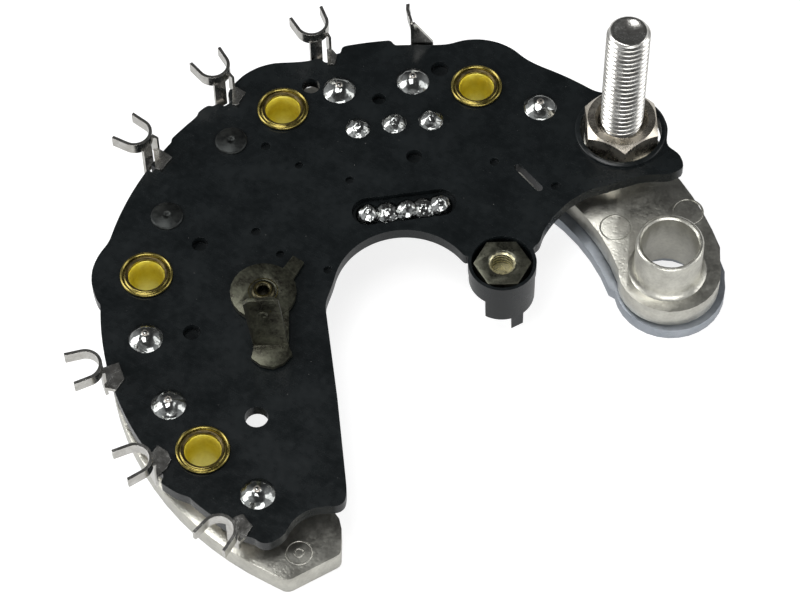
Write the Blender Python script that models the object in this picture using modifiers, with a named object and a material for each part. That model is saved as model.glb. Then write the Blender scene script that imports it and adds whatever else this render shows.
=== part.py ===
# Alternator rectifier: a moulded terminal board over two heat sinks with press-fit diodes.
# Lengths are in metres and angles in degrees. The underside is at height 0. The diodes and the
# eyelets share one pitch circle, and its centre is the drawing centre of every outline.

import math

import bmesh
import bpy
from mathutils import Matrix, Vector

# Clearance between pieces that seat on, or pass through, each other
FIT = 0.0003

# Heights of the stack
LOWER_THICK = 0.0026
PLATE_GAP = 0.0010
UPPER_THICK = 0.0045
BOARD_RISE = 0.0049
BOARD_THICK = 0.0025
UPPER_BASE = LOWER_THICK + PLATE_GAP
UPPER_TOP = UPPER_BASE + UPPER_THICK
BOARD_BASE = UPPER_TOP + BOARD_RISE
BOARD_TOP = BOARD_BASE + BOARD_THICK

# Pitch circle of the diodes and eyelets
PITCH_R = 0.0487

# Eyelets: angle on the pitch circle and radius of the board's lobe round each
EYELETS = ((75.0, 0.0115), (119.3, 0.0113), (173.3, 0.0101), (219.8, 0.0095))
EYELET_BORE_R = 0.0032
EYELET_WALL = 0.0004
EYELET_RIM_R = 0.00485
EYELET_RIM_THICK = 0.0005
EYELET_COUNTERBORE = 0.0012
EYELET_R = EYELET_BORE_R + EYELET_WALL
BUSH_WALL = 0.0006
BUSH_FLANGE_R = 0.0060
BUSH_R = EYELET_R + FIT + BUSH_WALL
STANDOFF_WALL = 0.0011
STANDOFF_R = EYELET_R + FIT + STANDOFF_WALL

# Diodes: angle, heat sink that holds it, and whether its joint is a dome
DIODES = (
    (59.9, "upper", True),
    (89.2, "lower", True),
    (105.8, "upper", True),
    (133.4, "lower", False),
    (157.5, "upper", False),
    (189.1, "lower", True),
    (206.4, "lower", True),
    (235.3, "upper", True),
)
DIODE_R = 0.0055
DIODE_KNURL_HEIGHT = 0.0028
DIODE_NECK_R = 0.0046
DIODE_HEIGHT = 0.0050
DIODE_RECESS = 0.0002
LEAD_R = 0.00065
LEAD_TOP = BOARD_TOP + 0.0020
DOME_R = 0.00315
DOME_HEIGHT = 0.0014
DISC_R = 0.0030
DISC_HEIGHT = 0.0005

# Phase links under the board: each joins the leads of two diodes and carries the fork tails
LINK_THICK = 0.0008
LINK_MARGIN = 0.0021
LINK_OUTER_R = PITCH_R + STANDOFF_R + LINK_MARGIN
LINK_INNER_R = STANDOFF_R + PITCH_R + FIT
LINK_TAB_HALF = 0.0018
LINK_TAB_REACH = 0.0020
LINK_TOP = BOARD_BASE - FIT
LINK_BASE = LINK_TOP - LINK_THICK
LINKS = (
    ("neutral_link", 59.9, 89.2),
    ("phase_link_1", 105.8, 133.4),
    ("phase_link_2", 157.5, 189.1),
    ("phase_link_3", 206.4, 235.3),
)

# Fork terminals: angle, directions of the fork and of its foot, offset and width of the foot, and link
FORK_OUTSET = 0.0022
FORK_ROOT_R = LINK_OUTER_R + FORK_OUTSET
FORKS = (
    ("fork_terminal_1", 108.3, 109.0, 102.0, 0.0030, 0.0034, 1),
    ("fork_terminal_2", 128.8, 124.0, 109.0, 0.0030, 0.0034, 1),
    ("fork_terminal_3", 148.7, 143.0, 126.0, 0.0030, 0.0034, 2),
    ("fork_terminal_4", 197.4, 196.0, 190.0, 0.0009, 0.0048, 2),
    ("fork_terminal_5", 218.2, 211.0, 198.0, 0.0009, 0.0048, 3),
    ("fork_terminal_6", 237.5, 228.0, 230.0, 0.0009, 0.0034, 3),
)
STRIP = 0.0006
FORK_WIDTH = 0.0061
FORK_FLARE = 0.0003
FORK_DEPTH = 0.0055
FORK_BASE = BOARD_TOP + 0.0035
FORK_HEIGHT = 0.0031
STEM_WIDTH = 0.0021
STEM_BASE = BOARD_BASE + 0.0006
FOOT_WIDTH = 0.0034
FOOT_REACH = 0.0034
FOOT_OUTSET = 0.0024
LEG_WIDTH = 0.0008
LEG_NEAR = 0.0009
LEG_FAR = 0.0022

# Hooked terminal at the far side
HOOK_X = 0.0004
HOOK_PLATE_WIDTH = 0.0043
HOOK_LENGTH = 0.0040
HOOK_LEAN = 11.0

# Output stud, its nut and the pillar under it
STUD_X = 0.0392
STUD_Y = 0.0362
STUD_R = 0.0040
STUD_TOP = 0.0458
STUD_HEAD_R = 0.0063
STUD_HEAD_THICK = 0.0026
PILLAR_R = 0.0068
NUT_FLATS = 0.0130
NUT_HEIGHT = 0.0065
NUT_TURN = 32.0
STUD_HOLE_R = 0.0080
STUD_LOBE_R = 0.0090
LUG_X = 0.0476
LUG_Y = 0.0286
LUG_R = 0.0032

# Mounting boss of the upper heat sink
BOSS_X = 0.0468
BOSS_Y = 0.0102
BOSS_TOP = 0.0168
BOSS_R = 0.0062
BOSS_FOOT_R = 0.0069
BOSS_FILLET = 0.0006
BOSS_BORE_R = 0.00525
BOSS_CLEARANCE_R = 0.0072

# Heat sink bands
BOSS_DISTANCE = math.hypot(BOSS_X, BOSS_Y)
UPPER_INNER_R = PITCH_R - DIODE_R - 0.0040
UPPER_OUTER_R = BOSS_DISTANCE + BOSS_FOOT_R + 0.0039
UPPER_BACK_R = PITCH_R + DIODE_R + 0.0024
UPPER_END_R = 0.0095
LOWER_INNER_R = PITCH_R - DIODE_R - 0.0056
LOWER_OUTER_R = BOSS_DISTANCE + BOSS_CLEARANCE_R + 0.0043
LOWER_BACK_R = PITCH_R + DIODE_R + 0.0011
LOWER_END_R = 0.0103
LOWER_END_ANGLE = 232.0

# Moulded post with its tapped plate
POST_X = 0.0162
POST_Y = 0.0074
POST_R = 0.0063
POST_BARREL_R = 0.0061
POST_BASE = 0.0055
POST_TOOTH_BASE = 0.0020
POST_TOOTH = ((0.0017, -0.0058), (0.0039, -0.0046), (0.0039, -0.0030), (0.0017, -0.0038))
POST_HOLLOW_R = 0.00565
POST_FLOOR = 0.0112
POST_WELL_BASE = POST_BASE + 0.0010
POST_STEP_TOP = POST_FLOOR - 0.0009
POST_GROOVE_DEPTH = 0.0003
TAP_R = 0.0021
TAP_PLATE_R = POST_HOLLOW_R - FIT
TAP_PLATE_TOP = BOARD_TOP - 0.0003
POST_WELL_R = TAP_R + 0.0004
POST_STEP_X = POST_WELL_R + 0.0006

# Field diodes: place of the outer and of the inner joint of each
FIELD_PAIRS = (
    ((-0.0098, 0.0379), (-0.0081, 0.0190)),
    ((-0.0030, 0.0389), (-0.0009, 0.0198)),
    ((0.0039, 0.0395), (0.0052, 0.0208)),
)
FIELD_DIODE_R = 0.0015
FIELD_DIODE_LENGTH = 0.0065
FIELD_LEAD_R = 0.0004
FIELD_AXIS = BOARD_BASE - 0.0026
SMALL_JOINT_R = 0.0023
SMALL_JOINT_HEIGHT = 0.0011
LONG_JOINT_THICK = 0.0009
LUMP = ((0.0, 0.0021), (0.0006, 0.0021), (0.0012, 0.0019), (0.0018, 0.0011), (0.0018, 0.0004), (0.0, 0.0004))
SLOT_HALF = 0.0030
SLOT_DEPTH = 0.0012
STRAP_HALF = 0.0020

# Blade terminal
SPADE_X = -0.0271
SPADE_Y = 0.0010
SPADE_DISC_R = 0.0060
SPADE_LUG = ((0.0029, 0.0042), (0.0051, 0.0023), (0.0073, 0.0064), (0.0053, 0.0078))
SPADE_DISC_THICK = 0.0012
SPADE_FOOT_THICK = 0.0008
BLADE_WIDTH = 0.0063
BLADE_THICK = 0.0008
BLADE_X = -0.0256
BLADE_Y = -0.0100
BLADE_TOP = 0.0312
BLADE_LEAN = 5.0
BLADE_FOOT = ((-0.0035, -0.0030), (-0.0018, -0.0045), (0.0004, -0.0050), (0.0022, -0.0042), (0.0038, -0.0023))
BLADE_HOLE_R = 0.0009
BLADE_HOLE_DROP = 0.0044
RIVET_R = 0.0015
RIVET_BORE_R = 0.0010
RIVET_HEAD_R = 0.0022

parts = None
cutters = None
root = None


def polar(radius, angle):
    """Point at a distance and an angle from the drawing centre."""
    turn = math.radians(angle)
    return radius * math.cos(turn), radius * math.sin(turn)


def arc(x, y, radius, start, end, count):
    """Points along an arc, both ends included."""
    points = []
    for i in range(count + 1):
        turn = math.radians(start + (end - start) * i / count)
        points.append((x + radius * math.cos(turn), y + radius * math.sin(turn)))
    return points


def circle(x, y, radius, count=24):
    return arc(x, y, radius, 0, 360, count)[:-1]


def reach(angle, x, y, radius):
    """Distance from the drawing centre to the far side of a circle along a ray, or 0 if it misses."""
    turn = math.radians(angle)
    along = x * math.cos(turn) + y * math.sin(turn)
    under = radius ** 2 - (x * x + y * y - along ** 2)
    return along + math.sqrt(under) if under > 0 else 0.0


def material(name, colour, roughness, metallic):
    made = bpy.data.materials.new(name)
    made.use_nodes = True
    shader = made.node_tree.nodes["Principled BSDF"]
    shader.inputs["Base Color"].default_value = (*colour, 1.0)
    shader.inputs["Roughness"].default_value = roughness
    shader.inputs["Metallic"].default_value = metallic
    made.diffuse_color = (*colour, 1.0)
    return made


def place(name, mesh, look=None):
    """Put a mesh in the part as a named object, or among the cutters if it has no material."""
    made = bpy.data.objects.new(name, mesh)
    made.parent = root
    if look is None:
        cutters.objects.link(made)
        made.hide_render = True
        made.display_type = "WIRE"
    else:
        parts.objects.link(made)
        mesh.materials.clear()
        mesh.materials.append(look)
    return made


def settled(source):
    """Mesh of a construction object as it evaluates, welded and shaded; the object is removed."""
    bpy.context.scene.collection.objects.link(source)
    bpy.context.view_layer.update()
    graph = bpy.context.evaluated_depsgraph_get()
    mesh = bpy.data.meshes.new_from_object(source.evaluated_get(graph))
    mesh.transform(source.matrix_world)
    data = source.data
    bpy.data.objects.remove(source)
    if isinstance(data, bpy.types.Curve):
        bpy.data.curves.remove(data)
    else:
        bpy.data.meshes.remove(data)
    bm = bmesh.new()
    bm.from_mesh(mesh)
    bmesh.ops.remove_doubles(bm, verts=bm.verts, dist=0.000005)
    bm.to_mesh(mesh)
    bm.free()
    mesh.shade_smooth()
    mesh.set_sharp_from_angle(angle=math.radians(35))
    return mesh


def slab(name, loops, base, top):
    """Plate between two heights; the first loop is its outline and the others are holes."""
    curve = bpy.data.curves.new(name, "CURVE")
    curve.dimensions = "2D"
    curve.fill_mode = "BOTH"
    curve.extrude = (top - base) / 2
    for loop in loops:
        spline = curve.splines.new("POLY")
        spline.points.add(len(loop) - 1)
        for point, (x, y) in zip(spline.points, loop):
            point.co = (x, y, 0.0, 1.0)
        spline.use_cyclic_u = True
    source = bpy.data.objects.new(name, curve)
    source.location.z = (base + top) / 2
    return settled(source)


def turned(name, profile, x=0.0, y=0.0, steps=24, closed=False):
    """Turn a profile of radius and height about an upright axis, outer side first, top to bottom."""
    mesh = bpy.data.meshes.new(name)
    edges = [(i, i + 1) for i in range(len(profile) - 1)]
    if closed:
        edges.append((len(profile) - 1, 0))
    mesh.from_pydata([(radius, 0.0, height) for radius, height in profile], edges, [])
    source = bpy.data.objects.new(name, mesh)
    source.location = (x, y, 0.0)
    screw = source.modifiers.new("Turn", "SCREW")
    screw.steps = steps
    screw.render_steps = steps
    screw.use_merge_vertices = True
    screw.merge_threshold = 0.000005
    return settled(source)


def rods(name, places, base, top, count=20):
    """Upright cylinders in one mesh, from rows of x, y and radius."""
    bm = bmesh.new()
    for x, y, radius in places:
        move = Matrix.Translation((x, y, (base + top) / 2))
        bmesh.ops.create_cone(bm, cap_ends=True, segments=count, radius1=radius, radius2=radius,
                              depth=top - base, matrix=move)
    mesh = bpy.data.meshes.new(name)
    bm.to_mesh(mesh)
    bm.free()
    mesh.shade_smooth()
    mesh.set_sharp_from_angle(angle=math.radians(35))
    return mesh


def blocks(name, boxes):
    """Boxes in one mesh, each from its low and its high corner."""
    bm = bmesh.new()
    for low, high in boxes:
        size = Matrix.Diagonal((high[0] - low[0], high[1] - low[1], high[2] - low[2], 1.0))
        middle = Matrix.Translation([(a + b) / 2 for a, b in zip(low, high)])
        bmesh.ops.create_cube(bm, size=1.0, matrix=middle @ size)
    mesh = bpy.data.meshes.new(name)
    bm.to_mesh(mesh)
    bm.free()
    return mesh


def combine(target, tool, operation):
    step = target.modifiers.new(tool.name, "BOOLEAN")
    step.operation = operation
    step.solver = "EXACT"
    step.object = tool
    return step


def join(target, name, mesh):
    return combine(target, place(name, mesh), "UNION")


def cut(target, name, mesh):
    return combine(target, place(name, mesh), "DIFFERENCE")


def start_scene():
    """Clear the scene and make the two collections and the empty that carries every piece."""
    global parts, cutters, root
    for old in list(bpy.data.objects):
        bpy.data.objects.remove(old)
    parts = bpy.data.collections.new("alternator_rectifier")
    cutters = bpy.data.collections.new("cutters")
    bpy.context.scene.collection.children.link(parts)
    bpy.context.scene.collection.children.link(cutters)
    root = bpy.data.objects.new("rectifier_centre", None)
    parts.objects.link(root)


# Outline of the terminal board

# Rim of the board between its lobes: angle where each stretch starts, and its radius
BOARD_RIM = (
    (50.0, 0.0574),
    (93.0, 0.05865),
    (102.8, 0.0572),
    (130.6, 0.0581),
    (133.6, 0.0575),
    (141.2, 0.0570),
    (180.0, 0.0565),
    (226.0, 0.0567),
)
# Notches of the rim beside three fork terminals: start, end, radius
RIM_NOTCHES = ((105.2, 106.9, 0.0557), (126.8, 129.0, 0.0558), (214.0, 219.6, 0.0569))
BOARD_FIRST_ANGLE = 28.6
BOARD_LAST_ANGLE = 238.6
# Rounded corners of the tip: x, y, radius, first and last angle, and number of facets
BOARD_TIP = (
    (-0.0262, -0.0473, 0.0025, 215, 300, 4),
    (-0.0160, -0.0500, 0.00725, 165, 90, 5),
    (-0.0144, -0.0408, 0.0020, -90, 0, 3),
)
# Inner edge: up the left limb, round the bay's corner to the post, and from the post to the stud
BOARD_LIMB = ((-0.0123, -0.0392), (-0.0138, -0.0213), (-0.0160, -0.0010))
BAY_CORNER = (-0.0016, 0.0018, 0.0130, 172, 32, 13)
BOARD_HEEL = (
    (0.0232, 0.0115),
    (0.0239, 0.0140),
    (0.0258, 0.0171),
    (0.0290, 0.0206),
    (0.0327, 0.0230),
    (0.0356, 0.0238),
    (0.0428, 0.0262),
    (0.0479, 0.0262),
)


def board_rim(angle):
    radius = 0.0
    for start, value in BOARD_RIM:
        if angle >= start:
            radius = value
    lobes = [(LUG_X, LUG_Y, LUG_R), (STUD_X, STUD_Y, STUD_LOBE_R)]
    lobes += [(*polar(PITCH_R, place_angle), size) for place_angle, size in EYELETS]
    radius = max([radius] + [reach(angle, *lobe) for lobe in lobes])
    for start, end, value in RIM_NOTCHES:
        if start <= angle <= end:
            radius = min(radius, value)
    return radius


def board_outline():
    """Rim from the lug round to the tip, then the inner edge back past the post."""
    angles = {BOARD_FIRST_ANGLE + 3.0 * i for i in range(71)}
    for value in [entry[0] for entry in BOARD_RIM] + [end for notch in RIM_NOTCHES for end in notch[:2]]:
        angles -= {angle for angle in angles if abs(angle - value) < 0.7}
        angles |= {value - 0.3, value + 0.3}
    rim = sorted(angle for angle in angles if BOARD_FIRST_ANGLE <= angle <= BOARD_LAST_ANGLE)
    points = [polar(board_rim(angle), angle) for angle in rim]
    for corner in BOARD_TIP:
        points += arc(*corner)
    points += BOARD_LIMB
    points += arc(*BAY_CORNER)
    points += arc(POST_X, POST_Y, POST_R, 166, 388, 16)
    points += BOARD_HEEL
    return points


# Fork terminals

def fork_frame(angle, facing):
    """Matrix of a fork's own frame: origin at the fork's root, +Y along the way it opens."""
    x, y = polar(FORK_ROOT_R, angle)
    return Matrix.Translation((x, y, 0.0)) @ Matrix.Rotation(math.radians(facing - 90), 4, "Z")


def foot_place(entry):
    """Centre of the slot that a fork's bent foot passes down through."""
    name, angle, facing, heading, side, width, link = entry
    spot = fork_frame(angle, heading) @ Vector((side, STRIP / 2 - FOOT_REACH, 0.0))
    return spot.x, spot.y


def fork_band():
    """Plan outline of the U-shaped strip, with its root at the origin; its arms spread a little."""
    outer = FORK_WIDTH / 2
    inner = outer - STRIP
    tip = FORK_DEPTH
    points = [(outer + FORK_FLARE, tip)]
    points += [(inner + FORK_FLARE, tip)]
    points += arc(0.0, outer, inner, 0, -180, 8)
    points += [(-inner - FORK_FLARE, tip), (-outer - FORK_FLARE, tip)]
    points += arc(0.0, outer, outer, 180, 360, 8)[1:-1]
    return points


def foot_profile(outward):
    """Side outline of the foot: flat on the board, then bent down through it."""
    low = BOARD_TOP + FIT
    bend = STRIP - FOOT_REACH
    points = [(outward, low), (outward, low + STRIP), (bend, low + STRIP)]
    points += arc(bend, low, STRIP, 90, 180, 3)[1:]
    points += [(-FOOT_REACH, BOARD_BASE), (bend, BOARD_BASE), (bend, low)]
    return points


def stand_up(mesh):
    """Turn a plate drawn flat so that it is drawn in the upright plane of Y and Z."""
    mesh.transform(Matrix(((0, 0, 1, 0), (1, 0, 0, 0), (0, 1, 0, 0), (0, 0, 0, 1))))
    return mesh


def make_fork(entry, tin):
    name, angle, facing, heading, side, width, link = entry
    frame = fork_frame(angle, facing)
    mesh = slab(name, [fork_band()], FORK_BASE, FORK_BASE + FORK_HEIGHT)
    mesh.transform(frame)
    fork = place(name, mesh, tin)
    half = STEM_WIDTH / 2
    posts = [((-half, 0.00005, STEM_BASE), (half, STRIP - 0.00005, FORK_BASE + 0.0005))]
    beside = side > FORK_WIDTH / 4
    if beside:
        edge = FORK_WIDTH / 2 - 0.0001
        posts.append(((edge - LEG_WIDTH, LEG_NEAR, BOARD_TOP + FIT + 0.0002), (edge, LEG_FAR, FORK_BASE + 0.0005)))
    mesh = blocks(name + "_legs", posts)
    mesh.transform(frame)
    join(fork, name + "_legs", mesh)
    outward = FOOT_OUTSET if beside else STRIP * 0.7
    foot = stand_up(slab(name + "_foot", [foot_profile(outward)], -FOOT_WIDTH / 2, FOOT_WIDTH / 2))
    heel = fork_frame(angle, heading) @ Matrix.Translation((side, 0.0, 0.0))
    foot.transform(heel)
    join(fork, name + "_foot", foot)
    if width > FOOT_WIDTH:
        low = BOARD_TOP + FIT + 0.00005
        pad = blocks(name + "_pad", [((-width / 2, STRIP - FOOT_REACH, low),
                                      (width / 2, STRIP / 2, low + STRIP - 0.0001))])
        pad.transform(heel)
        join(fork, name + "_pad", pad)
    return fork


def make_hook(tin):
    """Terminal with a single arm on a triangular plate at the far side."""
    base = LINK_BASE
    top = FORK_BASE + FORK_HEIGHT
    left = HOOK_X
    right = HOOK_X + HOOK_PLATE_WIDTH
    plate = [(left, base), (right - 0.0004, base), (right, BOARD_TOP), (left + 0.0008, top - 0.0008),
             (left, top - 0.0008)]
    mesh = slab("hook_terminal", [plate], -STRIP / 2, STRIP / 2)
    mesh.transform(Matrix.Translation((0.0, FORK_ROOT_R, 0.0)) @ Matrix.Rotation(math.radians(90), 4, "X"))
    hook = place("hook_terminal", mesh, tin)
    arm = [(0.0, -STRIP / 4), (STRIP, -STRIP / 4), (STRIP, 0.0)]
    arm += [(STRIP - 0.0001, HOOK_LENGTH * 0.7), (STRIP + 0.0003, HOOK_LENGTH)]
    arm += [(0.0002, HOOK_LENGTH), (-0.0001, HOOK_LENGTH * 0.7)]
    mesh = slab("hook_arm", [arm], -FORK_HEIGHT, 0.0)
    lean = Matrix.Rotation(math.radians(HOOK_LEAN), 4, "Z") @ Matrix.Rotation(math.radians(-4), 4, "Y")
    mesh.transform(Matrix.Translation((left - 0.0002, FORK_ROOT_R, top)) @ lean)
    join(hook, "hook_arm", mesh)
    reach_in = FORK_ROOT_R - LINK_OUTER_R - FIT
    foot = blocks("hook_foot", [((left + 0.0004, FORK_ROOT_R - reach_in, LINK_BASE + 0.00005),
                                 (right - 0.0008, FORK_ROOT_R, LINK_TOP - 0.0001))])
    join(hook, "hook_foot", foot)
    return hook


# Terminal board

# Small holes and pits of the board: x, y and radius
LOCATING_HOLES = ((-0.0186, 0.0480, 0.0015), (-0.0281, -0.0245, 0.0016))
DEEP_PITS = (
    (0.0058, 0.0515, 0.0017),
    (-0.0058, 0.0447, 0.0013),
    (0.0006, 0.0313, 0.0015),
    (-0.0388, 0.0124, 0.0015),
    (-0.0399, -0.0066, 0.0016),
)
SMALL_PITS = (
    (-0.0270, 0.0342, 0.0009),
    (-0.0208, 0.0297, 0.0008),
    (-0.0286, 0.0150, 0.0009),
    (-0.0241, 0.0099, 0.0008),
    (-0.0155, 0.0063, 0.0008),
    (-0.0114, 0.0262, 0.0008),
    (0.0155, 0.0297, 0.0009),
    (0.0266, 0.0240, 0.0009),
)
VENT_SLOT = ((0.0198, 0.0284), (0.0235, 0.0236), 0.0007)


def stadium(start, end, half, count=6):
    """Outline with round ends about two points."""
    heading = math.degrees(math.atan2(end[1] - start[1], end[0] - start[0]))
    points = arc(*end, half, heading - 90, heading + 90, count)
    return points + arc(*start, half, heading + 90, heading + 270, count)


def make_board(look):
    holes = [circle(*hole, 12) for hole in LOCATING_HOLES]
    holes.append(circle(STUD_X, STUD_Y, STUD_HOLE_R, 24))
    holes.append(stadium(*VENT_SLOT, 3))
    board = place("terminal_board", slab("terminal_board", [board_outline()] + holes, BOARD_BASE, BOARD_TOP), look)

    # Tubular standoffs over the heat sink and the post's barrel with its tooth
    spots = [(*polar(PITCH_R, angle), STANDOFF_R) for angle, lobe in EYELETS]
    join(board, "board_standoffs", rods("board_standoffs", spots, UPPER_TOP + FIT, BOARD_BASE + 0.0005, 14))
    barrel = rods("post_barrel", [(POST_X, POST_Y, POST_BARREL_R)], POST_BASE, BOARD_BASE + 0.0005, 24)
    join(board, "post_barrel", barrel)
    tooth = [(POST_X + x, POST_Y + y) for x, y in POST_TOOTH]
    join(board, "post_tooth", slab("post_tooth", [tooth], POST_TOOTH_BASE, POST_BASE + 0.0015))

    # Bores of the eyelets and of the leads
    bores = [(*polar(PITCH_R, angle), EYELET_R + FIT) for angle, lobe in EYELETS]
    cut(board, "eyelet_bores", rods("eyelet_bores", bores, UPPER_TOP - 0.001, BOARD_TOP + 0.001, 14))
    leads = [(*polar(PITCH_R, angle), LEAD_R + FIT) for angle, sink, dome in DIODES]
    leads += [(*spot, FIELD_LEAD_R + FIT) for pair in FIELD_PAIRS for spot in pair]
    leads.append((SPADE_X, SPADE_Y, RIVET_R + FIT))
    cut(board, "lead_holes", rods("lead_holes", leads, BOARD_BASE - 0.001, BOARD_TOP + 0.001, 8))

    # Hollow of the post with a well under its floor, the groove under its rim, and its higher left foot
    hollow = [(0.0, BOARD_TOP + 0.001), (POST_HOLLOW_R, BOARD_TOP + 0.001), (POST_HOLLOW_R, POST_FLOOR)]
    hollow += [(POST_WELL_R, POST_FLOOR), (POST_WELL_R, POST_WELL_BASE), (0.0, POST_WELL_BASE)]
    cut(board, "post_hollow", turned("post_hollow", hollow, POST_X, POST_Y, 24))
    groove = arc(POST_X, POST_Y, POST_R + 0.001, -115, 0, 8)
    groove += arc(POST_X, POST_Y, POST_BARREL_R - POST_GROOVE_DEPTH, 0, -115, 8)
    cut(board, "post_groove", slab("post_groove", [groove], BOARD_BASE + 0.0002, BOARD_BASE + 0.0009))
    far = POST_BARREL_R + 0.0010
    step = [((POST_X - far, POST_Y - far, POST_BASE - 0.001), (POST_X - POST_STEP_X, POST_Y + far, POST_STEP_TOP))]
    cut(board, "post_step", blocks("post_step", step))
    window = strap_window()
    cut(board, "strap_window", slab("strap_window", [window], LINK_BASE - FIT, BOARD_BASE + 0.0001))

    # Slot of the long joint, pits, and slots of the forks' feet
    slot = stadium(FIELD_PAIRS[0][1], FIELD_PAIRS[2][1], SLOT_HALF, 6)
    cut(board, "joint_slot", slab("joint_slot", [slot], BOARD_TOP - SLOT_DEPTH, BOARD_TOP + 0.001))
    cut(board, "deep_pits", rods("deep_pits", DEEP_PITS, BOARD_TOP - 0.0016, BOARD_TOP + 0.001, 10))
    cut(board, "small_pits", rods("small_pits", SMALL_PITS, BOARD_TOP - 0.0008, BOARD_TOP + 0.001, 6))
    for entry in FORKS:
        name, angle, facing, heading, side, width, link = entry
        half = FOOT_WIDTH / 2 + FIT
        low = (side - half, -FOOT_REACH - FIT, BOARD_BASE - 0.001)
        high = (side + half, STRIP - FOOT_REACH + FIT, BOARD_TOP + 0.001)
        mesh = blocks(name + "_slot", [(low, high)])
        mesh.transform(fork_frame(angle, heading))
        cut(board, name + "_slot", mesh)
    return board


# Heat sinks

# Circle of the upper heat sink's left limb, rounded corners of its tip, and the side of the tip
LEFT_LIMB_ANGLE = 165.0
LEFT_LIMB = (0.0012, -0.0015, 0.0569)
UPPER_TIP = ((-0.0229, -0.0510, 0.0020, 248, 297, 3), (-0.0150, -0.0472, 0.0015, 297, 358, 3))
UPPER_TIP_SIDE = ((-0.0134, -0.0431), (-0.0138, -0.0411))


def band_rim(angle, front, back):
    """Rim of a heat sink: the front radius at the right end, the back circle elsewhere, and the stud's lobe."""
    radius = front if angle < 40.0 else back
    return max(radius, reach(angle, STUD_X, STUD_Y, STUD_LOBE_R - 0.0005))


def upper_outline():
    points = []
    for i in range(58):
        angle = 14.5 + 4.0 * i
        back = UPPER_BACK_R if angle < LEFT_LIMB_ANGLE else reach(angle, *LEFT_LIMB)
        points.append(polar(band_rim(angle, UPPER_OUTER_R, back), angle))
    for corner in UPPER_TIP:
        points += arc(*corner)
    points += UPPER_TIP_SIDE
    points += arc(0.0, 0.0, UPPER_INNER_R, 243, 15, 36)
    points += arc(BOSS_X + 0.0004, BOSS_Y, UPPER_END_R, 188, 367, 16)
    return points


def lower_outline():
    points = []
    for i in range(55):
        angle = 12.5 + 4.0 * i
        points.append(polar(band_rim(angle, LOWER_OUTER_R, LOWER_BACK_R), angle))
    points += [polar(LOWER_BACK_R, LOWER_END_ANGLE - 1), polar(LOWER_BACK_R - 0.001, LOWER_END_ANGLE)]
    points += [polar(LOWER_INNER_R + 0.001, LOWER_END_ANGLE)]
    points += arc(0.0, 0.0, LOWER_INNER_R, LOWER_END_ANGLE - 1, 15, 34)
    points += arc(BOSS_X + 0.0008, BOSS_Y + 0.0002, LOWER_END_R, 188, 365, 16)
    return points


def make_upper_sink(look):
    loops = [upper_outline()]
    for angle, sink, dome in DIODES:
        radius = DIODE_R + FIT if sink == "upper" else DIODE_R + 2 * FIT
        loops.append(circle(*polar(PITCH_R, angle), radius, 14))
    for angle, lobe in EYELETS:
        loops.append(circle(*polar(PITCH_R, angle), BUSH_R + FIT, 12))
    sink = place("upper_heat_sink", slab("upper_heat_sink", loops, UPPER_BASE, UPPER_TOP), look)
    join(sink, "stud_pillar", rods("stud_pillar", [(STUD_X, STUD_Y, PILLAR_R)], UPPER_TOP - 0.001, BOARD_BASE, 20))
    cut(sink, "stud_bore", rods("stud_bore", [(STUD_X, STUD_Y, STUD_R + FIT)], UPPER_BASE - 0.001,
                                BOARD_BASE + 0.001, 16))
    boss = [(0.0, BOSS_TOP), (BOSS_R - 0.0003, BOSS_TOP), (BOSS_R, BOSS_TOP - 0.0003)]
    boss += [(BOSS_FOOT_R - BOSS_FILLET, UPPER_TOP + 2 * BOSS_FILLET)]
    boss += [(BOSS_FOOT_R, UPPER_TOP + BOSS_FILLET / 2), (BOSS_FOOT_R + BOSS_FILLET, UPPER_TOP - 0.0002)]
    boss += [(BOSS_FOOT_R + BOSS_FILLET, UPPER_TOP - 0.001), (0.0, UPPER_TOP - 0.001)]
    join(sink, "boss_body", turned("boss_body", boss, BOSS_X, BOSS_Y, 32))
    bore = [(0.0, BOSS_TOP + 0.001), (BOSS_BORE_R + 0.0003, BOSS_TOP + 0.001)]
    bore += [(BOSS_BORE_R + 0.0003, BOSS_TOP - 0.0002), (BOSS_BORE_R, BOSS_TOP - 0.0005)]
    bore += [(BOSS_BORE_R, UPPER_BASE - 0.001), (0.0, UPPER_BASE - 0.001)]
    cut(sink, "boss_bore", turned("boss_bore", bore, BOSS_X, BOSS_Y, 32))
    return sink


def make_lower_sink(look):
    loops = [lower_outline(), circle(BOSS_X, BOSS_Y, BOSS_CLEARANCE_R, 24)]
    for angle, sink, dome in DIODES:
        if sink == "lower":
            loops.append(circle(*polar(PITCH_R, angle), DIODE_R + FIT, 14))
    for angle, lobe in EYELETS:
        loops.append(circle(*polar(PITCH_R, angle), EYELET_R + FIT, 12))
    sink = place("lower_heat_sink", slab("lower_heat_sink", loops, 0.0, LOWER_THICK), look)
    notch = [(STUD_X, STUD_Y, STUD_HEAD_R + 2 * FIT)]
    cut(sink, "stud_head_notch", rods("stud_head_notch", notch, -0.001, LOWER_THICK + 0.001, 20))
    seats = [(*polar(PITCH_R, angle), EYELET_RIM_R + FIT) for angle, lobe in EYELETS]
    cut(sink, "eyelet_seats", rods("eyelet_seats", seats, -0.001, EYELET_COUNTERBORE, 12))
    return sink


# Diodes, their leads and joints

def make_diode(number, angle, sink, dome, look):
    base = (UPPER_BASE if sink == "upper" else 0.0) + DIODE_RECESS
    top = LEAD_TOP if dome else BOARD_TOP + FIT + DISC_HEIGHT + 0.0002
    knurl = base + DIODE_KNURL_HEIGHT
    crown = base + DIODE_HEIGHT
    profile = [(0.0, top), (LEAD_R, top), (LEAD_R, crown + 0.0012), (0.0016, crown), (DIODE_NECK_R, crown - 0.0003)]
    profile += [(DIODE_NECK_R, knurl), (DIODE_R, knurl), (DIODE_R, base), (0.0, base)]
    return place(f"press_fit_diode_{number}", turned("diode", profile, *polar(PITCH_R, angle), 14), look)


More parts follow.
